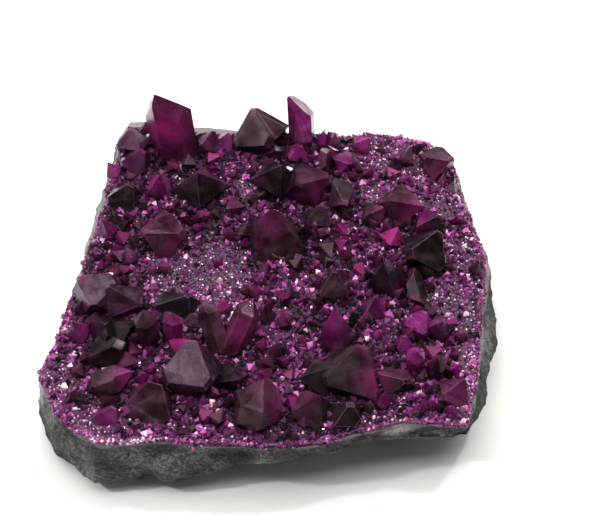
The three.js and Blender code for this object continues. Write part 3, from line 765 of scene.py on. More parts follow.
def new_material(name: str) -> tuple[bpy.types.Material, Shader]:
    """Starts a material that has an output alone.

    Args:
        name: Its name.

    Returns:
        The material and the shader that adds to it.
    """
    material = bpy.data.materials.new(name)
    material.use_nodes = True
    material.node_tree.nodes.clear()
    shader = Shader(material.node_tree)
    shader.add("ShaderNodeOutputMaterial", name="Output")
    return material, shader


@dataclass(frozen=True)
class CrystalFinish:
    """Finish of the large and middle-sized crystals: clear, clouded inside, with growth lines on its faces.

    The body colour is the crystal's own, darker in some places and hazy in others. It turns to the glow
    colour, a painted glow for light that comes through, where the mesh's glow value is high; to a pale colour
    along its growth lines and, as a painted highlight, along its edges; and to a pale colour on faces that
    look up, which is partly frosting and partly a painted sheen of the light above. What gets through loses
    colour by depth: the
    depth colour is kept best, and the density is per metre. Shade is the mesh's value for painted shade on
    faces:
    some by a repeatable draw from their direction, and those low on the crystal. The stops and ranges say
    where on a noise's scale an effect starts and is complete.
    """

    name: str
    body: Colour
    haze: Colour
    glow: Colour
    depth: Colour
    density: float
    clear: float
    roughness: float
    frost: float = 0.0
    stripe: float = 0.1
    line_width: float = 0.3
    line_height: float = 0.25
    line_depth: float = 0.05
    gloss: float = 0.07
    ior: float = 1.58
    sheen_tint: Colour = (0.44, 0.34, 0.40)
    worn: Colour = (0.26, 0.13, 0.21)
    frosted: Colour = (0.17, 0.11, 0.15)
    dusk: float = 0.3
    shade_colour: float = 0.8
    shade_glow: float = 0.5
    cloud_stops: Stops = (0.38, 0.5, 0.64)
    cloud_glow: Range = (0.35, 1.3)
    cloud_rough: Range = (-0.06, 0.2)
    stripe_range: Range = (0.5, 0.75)
    frost_range: Range = (0.45, 0.70)
    frost_least: float = 0.05

    def material(self, lines: bpy.types.NodeTree) -> bpy.types.Material:
        """Builds the material.

        Args:
            lines: The group that makes growth lines.

        Returns:
            The material.
        """
        material, shader = new_material(self.name)
        detail = shader.add("ShaderNodeGroup", node_tree=lines)
        detail.inputs["Line width"].default_value = self.line_width
        height, cloud, streak = detail.outputs
        dusky = tuple(self.dusk * c for c in self.body)
        colour = shader.ramp(cloud, list(zip(self.cloud_stops, (dusky, self.body, self.haze))))
        # Painted shade: faces that the mesh marks turn towards the dusky colour and lose some of their glow
        shade = shader.attribute("shade")
        colour = shader.mix(shader.math("MULTIPLY", shade, self.shade_colour), colour, dusky)
        # Painted glow: the glow colour stands for light that comes through thin and clear places
        uneven = shader.math("MULTIPLY_ADD", cloud, self.cloud_glow[1], self.cloud_glow[0])
        dimmed = shader.math("MULTIPLY", uneven, shader.math("MULTIPLY_ADD", shade, -self.shade_glow, 1.0))
        colour = shader.mix(shader.math("MULTIPLY", shader.attribute("glow"), dimmed), colour, self.glow)
        stripes = shader.spread(height, self.stripe_range, (0.0, self.stripe))
        # Painted highlight: bevelled edges turn pale; growth lines, the crystal's own, take the same pale
        # colour
        edges = shader.math("MULTIPLY", shader.attribute("worn"), cloud)
        colour = shader.mix(shader.math("MAXIMUM", stripes, edges), colour, self.worn)
        # Faces that look up turn pale: partly frosting, partly a painted sheen of the light above
        if self.frost:
            cover = shader.spread(streak, self.frost_range, (self.frost_least, self.frost))
            frost_and_sheen_share = shader.math("MULTIPLY", shader.attribute("level"), cover)
            colour = shader.mix(frost_and_sheen_share, colour, self.frosted)
        rough = shader.math("MULTIPLY_ADD", cloud, self.cloud_rough[1], self.roughness + self.cloud_rough[0])
        shader.surface(colour, rough, {
            "IOR": self.ior, "Transmission Weight": self.clear, "Specular IOR Level": self.gloss,
            "Specular Tint": (*self.sheen_tint, 1),
            "Normal": shader.bump(height, self.line_height, self.line_depth),
        })
        depth = {"Color": (*self.depth, 1), "Density": self.density}
        inside = shader.add("ShaderNodeVolumeAbsorption", depth)
        shader.tree.links.new(inside.outputs[0], shader.tree.nodes["Output"].inputs["Volume"])
        return material


@dataclass(frozen=True)
class GrainFinish:
    """Finish of the fine crystals, whose stored tint picks their colour, from nearly black to nearly white.

    Noise makes the tint a little more or less from patch to patch. Near white, at the top, are the pale edge
    grains and the grains with a painted glint.
    """

    name: str = "grain_crystals"
    roughness: float = 0.2
    ior: float = 1.6
    gloss: float = 0.15
    sheen_tint: Colour = (0.85, 0.50, 0.80)
    glaze: float = 0.1
    glaze_roughness: float = 0.05
    patch_size: float = 4.0
    patch_change: float = 0.24
    tones: tuple[tuple[float, Colour], ...] = (
        (0.0, (0.012, 0.008, 0.011)), (0.25, (0.047, 0.017, 0.041)), (0.5, (0.165, 0.032, 0.130)),
        (0.7, (0.42, 0.075, 0.33)), (0.85, (0.62, 0.24, 0.50)), (1.0, (0.95, 0.74, 0.87)),
    )

    def material(self) -> bpy.types.Material:
        """Builds the material.

        Returns:
            The material.
        """
        material, shader = new_material(self.name)
        patch = shader.noise(shader.place(), self.patch_size)
        change = shader.math("MULTIPLY_ADD", patch, self.patch_change, -0.5 * self.patch_change)
        tint = shader.math("ADD", shader.attribute("tint"), change)
        shader.surface(shader.ramp(tint, list(self.tones)), self.roughness, {
            "IOR": self.ior, "Specular IOR Level": self.gloss, "Specular Tint": (*self.sheen_tint, 1),
            "Coat Weight": self.glaze, "Coat Roughness": self.glaze_roughness,
        })
        return material


@dataclass(frozen=True)
class BedFinish:
    """Finish of the crust between its crystals: dark purple, paler towards its outer edge."""

    name: str = "crust_bed"
    dark: Colour = (0.012, 0.009, 0.012)
    light: Colour = (0.078, 0.026, 0.070)
    edge: Colour = (0.36, 0.18, 0.28)
    lump_size: float = 0.7
    lump_height: float = 0.3
    roughness: float = 0.35
    gloss: float = 0.25

    def material(self) -> bpy.types.Material:
        """Builds the material.

        Returns:
            The material.
        """
        material, shader = new_material(self.name)
        lumps = shader.noise(shader.place(), self.lump_size, 4.0)
        colour = shader.mix(lumps, self.dark, self.light)
        colour = shader.mix(shader.attribute("edge"), colour, self.edge)
        shader.surface(colour, self.roughness, {
            "IOR": 1.55, "Specular IOR Level": self.gloss,
            "Normal": shader.bump(lumps, 0.8, self.lump_height),
        })
        return material


@dataclass(frozen=True)
class RockFinish:
    """Finish of the rock: dull grey-green with fine grains, lighter where it was scuffed, and along its top
    as painted light.
    """

    name: str = "grey_green_rock"
    dark: Colour = (0.015, 0.018, 0.016)
    middle: Colour = (0.055, 0.058, 0.053)
    light: Colour = (0.21, 0.21, 0.20)
    scuffed: Colour = (0.56, 0.50, 0.52)
    tone_stops: Stops = (0.28, 0.5, 0.75)
    drift_size: float = 6.0
    drift_mean: float = 0.52
    drift_height: float = 3.0
    grain_height: float = 0.3
    roughness: float = 0.78
    gloss: float = 0.35

    def material(self, grain: bpy.types.NodeTree) -> bpy.types.Material:
        """Builds the material.

        Args:
            grain: The group that makes the rock's grain.

        Returns:
            The material.
        """
        material, shader = new_material(self.name)
        light, height = shader.add("ShaderNodeGroup", node_tree=grain).outputs
        drift = shader.noise(shader.place(), self.drift_size, 4.0)
        tone = shader.math("ADD", shader.math("SUBTRACT", drift, self.drift_mean), light)
        colour = shader.ramp(tone, list(zip(self.tone_stops, (self.dark, self.middle, self.light))))
        colour = shader.mix(shader.attribute("scuff_and_top_light"), colour, self.scuffed)
        relief = shader.math("MULTIPLY_ADD", drift, self.drift_height, height)
        shader.surface(colour, self.roughness, {
            "IOR": 1.5, "Specular IOR Level": self.gloss,
            "Normal": shader.bump(relief, 0.9, self.grain_height),
        })
        return material


# Finish of the crystals of each slot: body, haze, painted glow and depth colours, then the values that differ
CRYSTAL_FINISHES = {
    "crystal_dark": CrystalFinish(
        "dark_crystal", (0.024, 0.020, 0.020), (0.072, 0.053, 0.057), (0.48, 0.022, 0.28),
        (0.55, 0.18, 0.40), density=900.0, clear=0.62, roughness=0.08,
    ),
    "crystal_maroon": CrystalFinish(
        "maroon_crystal", (0.082, 0.033, 0.050), (0.170, 0.080, 0.115), (0.62, 0.050, 0.35),
        (0.76, 0.24, 0.60), density=400.0, clear=0.62, roughness=0.07,
    ),
    "crystal_magenta": CrystalFinish(
        "magenta_crystal", (0.16, 0.045, 0.12), (0.36, 0.16, 0.30), (0.90, 0.055, 0.60),
        (0.86, 0.22, 0.74), density=180.0, clear=0.68, roughness=0.06,
    ),
    "crystal_grey": CrystalFinish(
        "grey_crystal", (0.032, 0.021, 0.021), (0.066, 0.046, 0.045), (0.46, 0.034, 0.25),
        (0.65, 0.32, 0.50), density=900.0, clear=0.45, roughness=0.12, stripe=0.3, line_width=0.45,
    ),
    "crystal_pale": CrystalFinish(
        "pale_crystal", (0.045, 0.018, 0.036), (0.098, 0.044, 0.086), (0.44, 0.06, 0.32),
        (0.80, 0.25, 0.68), density=500.0, clear=0.5, roughness=0.14, frost=0.8, stripe=0.25,
    ),
}


@dataclass(frozen=True)
class GrainKind:
    """One kind of the crust's grains: the step between them, their size, their stand and their tints.

    Tints are drawn around a mean. Grains with a painted glint get more, and grains in painted shade less. The
    values named sugar are what fine-grained patches add to the one before, or take off the half width.
    """

    step: float
    widths: Range
    sugar_widths: float
    length: float
    lean: float
    rise: float
    tint: float
    sugar_tint: float
    spread: float
    sugar_spread: float
    bright_share: float
    sugar_bright: float
    bright_tint: float
    dark_tint: float


FINE_GRAINS = GrainKind(
    step=0.45, widths=(0.22, 0.40), sugar_widths=0.28, length=1.15, lean=50, rise=0.1, tint=0.36,
    sugar_tint=0.03, spread=0.15, sugar_spread=0.05, bright_share=0.10, sugar_bright=0.06, bright_tint=0.5,
    dark_tint=0.28,
)
COARSE_GRAINS = GrainKind(
    step=0.9, widths=(0.32, 0.72), sugar_widths=0.0, length=1.4, lean=45, rise=0.25, tint=0.37,
    sugar_tint=0.09, spread=0.24, sugar_spread=0.0, bright_share=0.10, sugar_bright=0.0, bright_tint=0.45,
    dark_tint=0.30,
)


@dataclass(frozen=True)
class MiddleKind:
    """One kind of middle-sized crystal: its share of them all, its form, finish, half width, length and lean.

    The last value is the range of tints of the crust's fused crystals of the same form that get this finish.
    """

    share: float
    form: Form
    finish: str
    half_width: Range
    ratio: Range
    lean: float
    fused_share: Range | None = None


MIDDLE_KINDS = (
    MiddleKind(0.20, Form.PYRAMID, "crystal_magenta", (0.6, 1.3), (1.2, 1.7), 40, (0.0, 0.27)),
    MiddleKind(0.12, Form.POINT, "crystal_magenta", (0.4, 0.8), (2.0, 3.0), 45),
    MiddleKind(0.27, Form.PYRAMID, "crystal_maroon", (0.8, 1.7), (1.1, 1.6), 40, (0.27, 0.65)),
    MiddleKind(0.10, Form.TABLET, "crystal_maroon", (1.0, 1.7), (0.6, 0.9), 50, (0.0, 0.6)),
    MiddleKind(0.25, Form.PYRAMID, "crystal_dark", (0.8, 1.6), (1.1, 1.5), 45, (0.65, 1.0)),
    MiddleKind(0.06, Form.TABLET, "crystal_grey", (0.8, 1.5), (0.5, 0.8), 60, (0.6, 1.0)),
)


# Sub-assemblies

@dataclass
class Rock:
    """The slab of rock under the crust, broken all round and rough all over."""

    splits: int = 3
    chip_size: float = 6.0
    chip_depth: float = 0.8
    chip_mean: float = 0.35
    ledge_height: float = 2.2
    ledge_depth: float = 0.16
    ledge_face: Range = (0.3, 0.55)
    ledge_drift: float = 3.5
    ledge_drift_size: float = 14.0
    grain_size: float = 1.1
    grain_depth: float = 0.16
    foot_zone: Range = (0.1, 1.6)
    rim_zone: Range = (ROCK_RIM - 1.2, ROCK_RIM - 0.2)
    pale_zone: Range = (ROCK_RIM - 1.4, ROCK_RIM - 0.1)
    scuff_middle: Place = (-41.5, -23.0, 11.5)
    scuff_radius: float = 9.0
    scuff_patches: float = 3.0
    scuff_amount: float = 0.8
    pale_amount: float = 0.35

    def surface(self) -> tuple[Array, Array]:
        """Works out the broken surface.

        The solid's triangles are split, and each point moves outwards by the sum of large chips, level ledges
        and small grains. Points of the flat foot stay, and those near the crust move less.

        Returns:
            Points and triangles.
        """
        points, triangles = node_arrays("matrix_rock")
        low, high = points.min(axis=0), points.max(axis=0)
        points, triangles = split_in_four(points, triangles, self.splits)
        chips = Noise(NoiseSeed.ROCK_CHIPS).layered(points, self.chip_size, 3)
        drift = Noise(NoiseSeed.ROCK_LEDGES).layered(points, self.ledge_drift_size, 2)
        step = (points[:, 2] + self.ledge_drift * drift) / self.ledge_height
        ledges = smooth_step(*self.ledge_face, step - np.floor(step)) - 0.5
        grains = Noise(NoiseSeed.ROCK_GRAINS).layered(points, self.grain_size, 2)
        amount = self.chip_depth * (chips - self.chip_mean)
        amount += self.ledge_depth * ledges + self.grain_depth * grains
        near_rim = smooth_step(*self.rim_zone, points[:, 2])
        free = smooth_step(*self.foot_zone, points[:, 2]) * (1 - 0.5 * near_rim)
        moved = points + corner_directions(points, triangles) * (amount * free)[:, None]
        return np.clip(moved, low, high), triangles

    def build(self, material: bpy.types.Material) -> None:
        """Makes the rock and stores how much lighter it is: scuffed round one corner, and painted light along
        the crust.

        Args:
            material: The rock's finish.
        """
        points, triangles = self.surface()
        piece = new_piece("rock_slab", points, triangles, material, smooth=True)
        away = np.linalg.norm(points - self.scuff_middle, axis=1) / self.scuff_radius
        patchy = Noise(NoiseSeed.ROCK_SCUFFS).layered(points, self.scuff_patches, 3)
        # Painted light from above: a paler band along the rock's top, just under the crust
        painted_top_light = smooth_step(*self.pale_zone, points[:, 2] + 0.5 * patchy)
        scuffed = 1 - smooth_step(0.35, 1.0, away + 0.35 * patchy)
        scuff_and_top_light = scuffed * self.scuff_amount + self.pale_amount * painted_top_light
        add_values(piece, "scuff_and_top_light", np.clip(scuff_and_top_light, 0, 1))
        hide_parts("matrix_rock")


@dataclass
class CrustBed:
    """The crust's sheet between and under its crystals."""

    outline: Outline
    rings: int = 90
    spokes: int = 420
    lump_size: float = 2.4
    lump_height: float = 0.22
    edge_out: float = 0.12
    edge_wobble: float = 0.12
    edge_wobble_size: float = 1.2
    edge_zone: Range = (0.965, 1.0)
    pale_zone: Range = (0.975, 1.0)
    pale_amount: float = 0.8
    face_shares: Stops = (0.999, 0.993, 0.6)
    face_drops: Range = (0.5, 1.1)
    foot_level: float = 13.3

    def level(self, places: Array) -> Array:
        """Gives the bed's level, with its lumps, which turns into the edge's own level near the edge.

        Args:
            places: Places in plan.

        Returns:
            Levels above the table.
        """
        lumps = self.lump_height * Noise(NoiseSeed.BED_LUMPS).over(places, self.lump_size, 3)
        inner = bed_level(places) + lumps
        drop = smooth_step(*self.edge_zone, self.outline.share(places))
        return inner + drop * (self.outline.level(places) - inner)

    def grid(self) -> tuple[Array, Array]:
        """Works out the bed's points as rings around its middle.

        A point's direction is its first parameter. The second runs from the middle out to the edge, down the
        edge's face, and back under the sheet.

        Returns:
            The rings from the middle outwards, and how far out each of those of the top is, from 0 to 1.
        """
        angle = 2 * np.pi * np.arange(self.spokes) / self.spokes
        share = np.linspace(0, 1, self.rings + 1)[1:]
        reach = self.outline.reach(angle) + self.edge_out
        way = circle(angle)
        plan = CENTRE + share[:, None, None] * (reach[:, None] * way)[None]
        top = np.dstack([plan, self.level(plan.reshape(-1, 2)).reshape(plan.shape[:2])])
        noise = Noise(NoiseSeed.BED_EDGE).layered(top[-1], self.edge_wobble_size, 2)
        levels = [top[-1, :, 2] - drop for drop in self.face_drops]
        levels.append(np.full(self.spokes, self.foot_level))
        face = np.stack([
            np.column_stack([CENTRE + way * (out * reach + self.edge_wobble * noise)[:, None], level])
            for out, level in zip(self.face_shares, levels)
        ])
        return np.concatenate([top, face]), share

    def surface(self) -> tuple[Array, Array, Array]:
        """Joins the rings by bands, and closes the bed by a fan to the middle above and one below.

        Returns:
            Points, triangles, and how far out each point is, from 0 to 1.
        """
        grid, share = self.grid()
        numbers = np.arange(grid.size // 3).reshape(-1, self.spokes)
        inner, outer = numbers[:-1], numbers[1:]
        inner_next, outer_next = np.roll(inner, -1, axis=1), np.roll(outer, -1, axis=1)
        first, last = numbers[0], numbers[-1]
        middle = np.full(self.spokes, grid.size // 3)
        triangles = np.concatenate([
            np.stack([inner, outer, outer_next], axis=2).reshape(-1, 3),
            np.stack([inner, outer_next, inner_next], axis=2).reshape(-1, 3),
            np.stack([first, np.roll(first, -1), middle], axis=1),
            np.stack([np.roll(last, -1), last, middle + 1], axis=1),
        ])
        ends = np.array([(*CENTRE, self.level(CENTRE[None])[0]), (*CENTRE, self.foot_level)])
        points = np.concatenate([grid.reshape(-1, 3), ends])
        below = np.ones(len(self.face_shares) * self.spokes)
        return points, triangles, np.concatenate([np.repeat(share, self.spokes), below, (0, 0)])

    def build(self, material: bpy.types.Material) -> None:
        """Makes the bed and stores how pale it is at its edge.

        Args:
            material: The bed's finish.
        """
        points, triangles, out = self.surface()
        piece = new_piece("crust_bed", points, triangles, material, smooth=True)
        add_values(piece, "edge", self.pale_amount * smooth_step(*self.pale_zone, out))
        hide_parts("druse_crust")


@dataclass
class LargeCrystals:
    """The crystals that stand out of the crust: solids with fine edges, growth steps, painted glow and shade.
    """

    materials: dict[str, bpy.types.Material]
    flat_angle: float = 2.5
    edge_width: float = 0.09
    sharp_angle: float = 0.3
    step_share: float = 0.4
    step_in: Range = (0.35, 1.1)
    step_height: float = 0.07
    step_area: float = 7.0
    level_zone: Range = (0.72, 0.96)
    shade_most: float = 0.6
    foot_shade: float = 0.5
    foot_zone: Range = (-0.5, 4.5)
    thin_glow: float = 0.3
    thin_zone: Range = (0.62, 1.0)
    thin_height: Range = (-1.0, 2.0)
    splits: int = 2
    solids: list[tuple[Array, Array]] = field(default_factory=list)

    def faceted(self, name: str, rng: np.random.Generator) -> tuple[Array, Array, Array, dict[str, Array]]:
        """Gives a solid its fine edges and growth steps.

        Args:
            name: The node.
            rng: Source of the steps' places.

        Returns:
            Points in mm, triangles, and for each triangle the direction across its growth lines, and by name
            whether it is a bevelled edge with a painted highlight, how level it is, and how much painted
            shade it gets.
        """
        points, triangles = node_arrays(name)
        shape = bmesh.new()
        corners = [shape.verts.new(p) for p in points]
        for triangle in triangles:
            shape.faces.new([corners[k] for k in triangle])
        flat = math.radians(self.flat_angle)
        bmesh.ops.dissolve_limit(shape, angle_limit=flat, verts=shape.verts, edges=shape.edges)
        sharp = [edge for edge in shape.edges if edge.calc_face_angle(0) > self.sharp_angle]
        bevel = {"offset": self.edge_width, "segments": 1, "affect": "EDGES", "clamp_overlap": True}
        # Bevel faces are marked for the pale painted highlight along the crystal's edges
        for face in bmesh.ops.bevel(shape, geom=sharp, **bevel)["faces"]:
            face.material_index = 1
        for face in [f for f in shape.faces if f.calc_area() > self.step_area]:
            if rng.random() < self.step_share:
                self.add_steps(shape, face, rng)
        across = []
        for face in shape.faces:
            edge = max(face.edges, key=lambda e: e.calc_length())
            along = (edge.verts[1].co - edge.verts[0].co).normalized()
            across.append(tuple(face.normal.cross(along)))
        shape.verts.index_update()
        loops = shape.calc_loop_triangles()
        shape.faces.index_update()
        out_points = np.array([v.co[:] for v in shape.verts])
        out_triangles = np.array([[loop.vert.index for loop in trio] for trio in loops])
        faces = [trio[0].face for trio in loops]
        lines = np.array([across[face.index] for face in faces])
        level = smooth_step(*self.level_zone, np.array([face.normal.z for face in faces]))
        values = {
            "worn": np.array([face.material_index for face in faces], float),
            "level": level,
            # Painted shade on faces by a repeatable draw from their direction, apart from faces that look up
            "shade": self.shade_most * painted_facet_shades(out_points, out_triangles) * (1 - level),
        }
        shape.free()
        return out_points, out_triangles, lines, values

    def add_steps(self, shape: bmesh.types.BMesh, face: bmesh.types.BMFace, rng: np.random.Generator) -> None:
        """Raises or sinks one or two low steps in a face, as an uneven growth leaves them.

        Args:
            shape: The crystal.
            face: Its face.
            rng: Source of the steps' number, width and height.
        """
        for _ in range(rng.integers(1, 3)):
            width = rng.uniform(*self.step_in)
            height = self.step_height * rng.choice([-1.0, 0.6, 1.0])
            step = {"thickness": width, "depth": height, "use_even_offset": True}
            bmesh.ops.inset_individual(shape, faces=[face], **step)

    def glow(self, points: Array) -> Array:
        """Tells how much painted glow, for light that comes through, the points of one crystal get.

        It is the strongest of the glows there, each fading outwards, or a weak one of its own at thin places:
        those further from the crystal's middle than most, above it.

        Args:
            points: The crystal's points.

        Returns:
            Values from 0 to 1.
        """
        strongest = (fading(points, PAINTED_GLOWS) * PAINTED_GLOWS[:, 4]).max(axis=1)
        offset = points - points.mean(axis=0)
        reach = np.linalg.norm(offset, axis=1)
        thin = smooth_step(*self.thin_zone, reach / reach.max())
        thin *= smooth_step(*self.thin_height, offset[:, 2])
        return np.maximum(strongest, self.thin_glow * thin)

    def build(self) -> None:
        """Makes each crystal in its own finish, and keeps its solid."""
        slots = {part["node"]: part["material_slot"] for part in frame["record"]["subparts"]}
        rng = np.random.default_rng(DrawSeed.GROWTH_STEPS)
        parts = 4**self.splits
        for name, slot in slots.items():
            if slot not in self.materials:
                continue
            self.solids.append(node_arrays(name))
            points, triangles, lines, values = self.faceted(name, rng)
            points, triangles = split_in_four(points, triangles, self.splits)
            piece = new_piece(f"{name}_faces", points, triangles, self.materials[slot])
            # Painted glow for light that comes through thin and clear places
            add_values(piece, "glow", self.glow(points))
            growth = np.einsum("ijk,ik->ij", points[triangles], np.repeat(lines, parts, axis=0))
            add_values(piece, "growth", growth, "CORNER")
            # Painted shade: each crystal darkens towards its foot on the bed
            above_bed = points[:, 2] - bed_level(points[:, :2])
            foot = self.foot_shade * (1 - smooth_step(*self.foot_zone, above_bed))[triangles].ravel()
            for label, value in values.items():
                added = foot if label == "shade" else 0
                add_values(piece, label, np.repeat(value, 3 * parts) + added, "CORNER")
            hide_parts(name)


@dataclass
class FineCrystals:
    """All crystals that are smaller than the large ones, down to the crust's sparkling grains."""

    bed: CrustBed
    outline: Outline
    solids: list[tuple[Array, Array]]
    fine: GrainKind = FINE_GRAINS
    coarse: GrainKind = COARSE_GRAINS
    coarse_uneven: float = 0.15
    tablet_length: float = 0.75
    edge_step: float = 0.09
    edge_widths: Range = (0.2, 0.42)
    edge_zone: Range = (0.93, 1.0)
    edge_tint: float = 0.15
    edge_noise_radius: float = 45.0
    edge_wander: float = 0.45
    edge_drops: Range = (-0.25, 1.1)
    edge_sag: float = 0.3
    middle_step: float = 2.8
    middle_rise: float = 0.35
    middle_uneven: float = 0.14
    pyramid_share: float = 0.6
    face_contrast: float = 0.3
    patch_size: float = 6.5
    patch_zone: Range = (-0.1, 0.6)
    patch_most: float = 0.9
    shade_most: float = 0.6

    def scattered(self, step: float, rng: np.random.Generator, reach: float = 0.99) -> Array:
        """Spreads places over the crust: one in each cell of a square grid, anywhere in the cell.

        Args:
            step: Side of a cell in mm.
            rng: Source of the places.
            reach: How far out they go, as a share of the outline.

        Returns:
            Places in plan.
        """
        side = np.arange(-HALF_PLAN, HALF_PLAN, step)
        grid = np.stack(np.meshgrid(side, side), axis=2).reshape(-1, 2)
        places = grid + rng.uniform(0, step, grid.shape)
        return places[self.outline.share(places) < reach]

    def outside_large(self, points: Array) -> Array:
        """Tells which points are outside all large crystals.

        Args:
            points: Places in mm.

        Returns:
            A mask.
        """
        free = np.ones(len(points), bool)
        for corners, triangles in self.solids:
            low, high = corners.min(axis=0), corners.max(axis=0)
            near = np.flatnonzero(((points > low) & (points < high)).all(axis=1))
            if len(near):
                free[near[solid_share(points[near], corners, triangles) > 0.5]] = False
        return free

    def dimness(self, places: Array) -> Array:
        """Tells how much painted shade the crust gets: near large crystals, and in patches of noise.

        A grid of one-millimetre cells marks where corners of the finely split solids are. It is blurred three
        times by the mean of each cell and its neighbours, and each place reads its cell. Fine-grained patches
        stay light.

        Args:
            places: Places in plan.

        Returns:
            Values from 0 to 1.
        """
        marks = np.concatenate([split_in_four(*solid, 2)[0][:, :2] for solid in self.solids])
        square = [[-HALF_PLAN, HALF_PLAN]] * 2
        share = (np.histogram2d(*marks.T, bins=2 * HALF_PLAN, range=square)[0] > 0).astype(float)
        for axis in (0, 1) * 3:
            share = (np.roll(share, 1, axis) + share + np.roll(share, -1, axis)) / 3
        column, row = np.clip(np.floor(places + HALF_PLAN).astype(int), 0, 2 * HALF_PLAN - 1).T
        noise = Noise(NoiseSeed.DARK_PATCHES).over(places, self.patch_size, 2)
        patches = self.patch_most * smooth_step(*self.patch_zone, noise)
        return np.maximum(share[column, row], patches) * (1 - sugar_share(places))

    def growth(self, places: Array, widths: Array, ratio: Array, lean: float, rise: float, tints: Array,
               rng: np.random.Generator) -> Growth:
        """Stands crystals on the bed, each leaning its own way, and leaves out those inside a large crystal.

        Args:
            places: Places in plan.
            widths: Half widths.
            ratio: Half lengths as shares of the half widths.
            lean: The furthest lean in degrees.
            rise: How far the middle is above the bed, as a share of the half width.
            tints: Stored tints.
            rng: Source of leans and turns.

        Returns:
            The crystals.
        """
        count = len(places)
        middles = np.column_stack([places, self.bed.level(places) + rise * widths])
        axes = direction(rng.uniform(0, 360, count), lean * np.sqrt(rng.uniform(0, 1, count)))
        all_of_them = Growth(middles, axes, rng.uniform(0, 360, count), widths, widths * ratio, tints)
        return all_of_them.chosen(self.outside_large(middles))

    def tinted_piece(self, name: str, growth: Growth, form: Form, material: bpy.types.Material,
                     uneven: float = 0.0) -> None:
        """Makes a piece of grains, and stores each face's tint: the grain's own, with painted sheen and shade
        by face.

        Args:
            name: The piece's name.
            growth: Its grains.
            form: Their form.
            material: Their finish.
            uneven: How far their corners move, as a share of the half width.
        """
        points, triangles, tints, _ = growth.arrays(form, uneven)
        piece = new_piece(name, points, triangles, material)
        # Painted sheen and shade: each face a little lighter or darker by its direction
        by_face = self.face_contrast * (painted_facet_shades(points, triangles) - 0.5)
        add_values(piece, "tint", np.clip(tints[triangles] + by_face[:, None], 0, 1), "CORNER")

    def drawn(self, kind: GrainKind, places: Array, rng: np.random.Generator) -> tuple[Array, Array]:
        """Draws the half widths and tints of grains, as their kind describes them.

        Args:
            kind: Their kind.
            places: Their places in plan.
            rng: Source of the draws.

        Returns:
            Half widths and tints.
        """
        count = len(places)
        sugar = sugar_share(places)
        widths = rng.uniform(*kind.widths, count) * (1 - kind.sugar_widths * sugar)
        # Some grains get a painted glint: a tint near white
        bright = rng.uniform(0, 1, count) < kind.bright_share + kind.sugar_bright * sugar
        spread = kind.spread + kind.sugar_spread * sugar
        tints = kind.tint + kind.sugar_tint * sugar + spread * rng.normal(0, 1, count)
        # Painted shade near large crystals and in dark patches lowers the tint
        tints += kind.bright_tint * bright + tone_shift(places) - kind.dark_tint * self.dimness(places)
        return widths, tints

    def grains(self, material: bpy.types.Material) -> None:
        """Makes the sparkling grains that cover the crust, which are lighter near its edge.

        Args:
            material: Their finish.
        """
        rng = np.random.default_rng(DrawSeed.GRAINS)
        kind = self.fine
        places = self.scattered(kind.step, rng, 1.0)
        widths, tints = self.drawn(kind, places, rng)
        tints += self.edge_tint * smooth_step(*self.edge_zone, self.outline.share(places))
        ratio = np.full(len(places), kind.length)
        growth = self.growth(places, widths, ratio, kind.lean, kind.rise, tints, rng)
        self.tinted_piece("sparkling_grains", growth, Form.PYRAMID, material)

    def coarse_grains(self, material: bpy.types.Material) -> None:
        """Makes the coarser grains that stand between the fine ones, few of them in fine-grained patches.

        Args:
            material: Their finish.
        """
        rng = np.random.default_rng(DrawSeed.COARSE_GRAINS)
        kind = self.coarse
        places = self.scattered(kind.step, rng)
        places = places[rng.uniform(0, 1, len(places)) > 0.75 * sugar_share(places)]
        widths, tints = self.drawn(kind, places, rng)
        standing = rng.uniform(0, 1, len(places)) < self.pyramid_share
        parts = ((Form.PYRAMID, standing, kind.length), (Form.TABLET, ~standing, self.tablet_length))
        for form, which, length in parts:
            ratio = np.full(which.sum(), length)
            growth = self.growth(places[which], widths[which], ratio, kind.lean, kind.rise, tints[which], rng)
            name = f"coarse_grains_{form.name.lower()}"
            self.tinted_piece(name, growth, form, material, self.coarse_uneven)

    def edge_grains(self, material: bpy.types.Material) -> None:
        """Makes the pink grains along the crust's outer edge, where it thins out over the rock.

        Args:
            material: Their finish.
        """
        rng = np.random.default_rng(DrawSeed.EDGE_GRAINS)
        angle = np.radians(np.arange(0, 360, self.edge_step))
        angle += rng.uniform(0, 0.002, int(360 / self.edge_step))
        count = len(angle)
        way = circle(angle)
        along = self.edge_noise_radius * way
        wander = self.edge_wander * Noise(NoiseSeed.EDGE_WANDER).over(along, 2.6, 2)
        reach = self.outline.reach(angle) + wander + rng.normal(0.0, 0.22, count)
        plan = CENTRE + way * reach[:, None]
        drop = rng.uniform(*self.edge_drops, count)
        drop += self.edge_sag * Noise(NoiseSeed.EDGE_DROP).over(along, 3.4, 2)
        middles = np.column_stack([plan, self.outline.level(plan) - drop])
        axes = direction(np.degrees(angle) + rng.normal(0, 35, count), rng.uniform(15, 85, count))
        widths = rng.uniform(*self.edge_widths, count)
        tints = rng.normal(0.54, 0.17, count) + 0.38 * fading(plan, EDGE_VEIN)[:, 0]
        growth = Growth(middles, axes, rng.uniform(0, 360, count), widths, 1.1 * widths, tints)
        self.tinted_piece("edge_grains", growth, Form.PYRAMID, material)

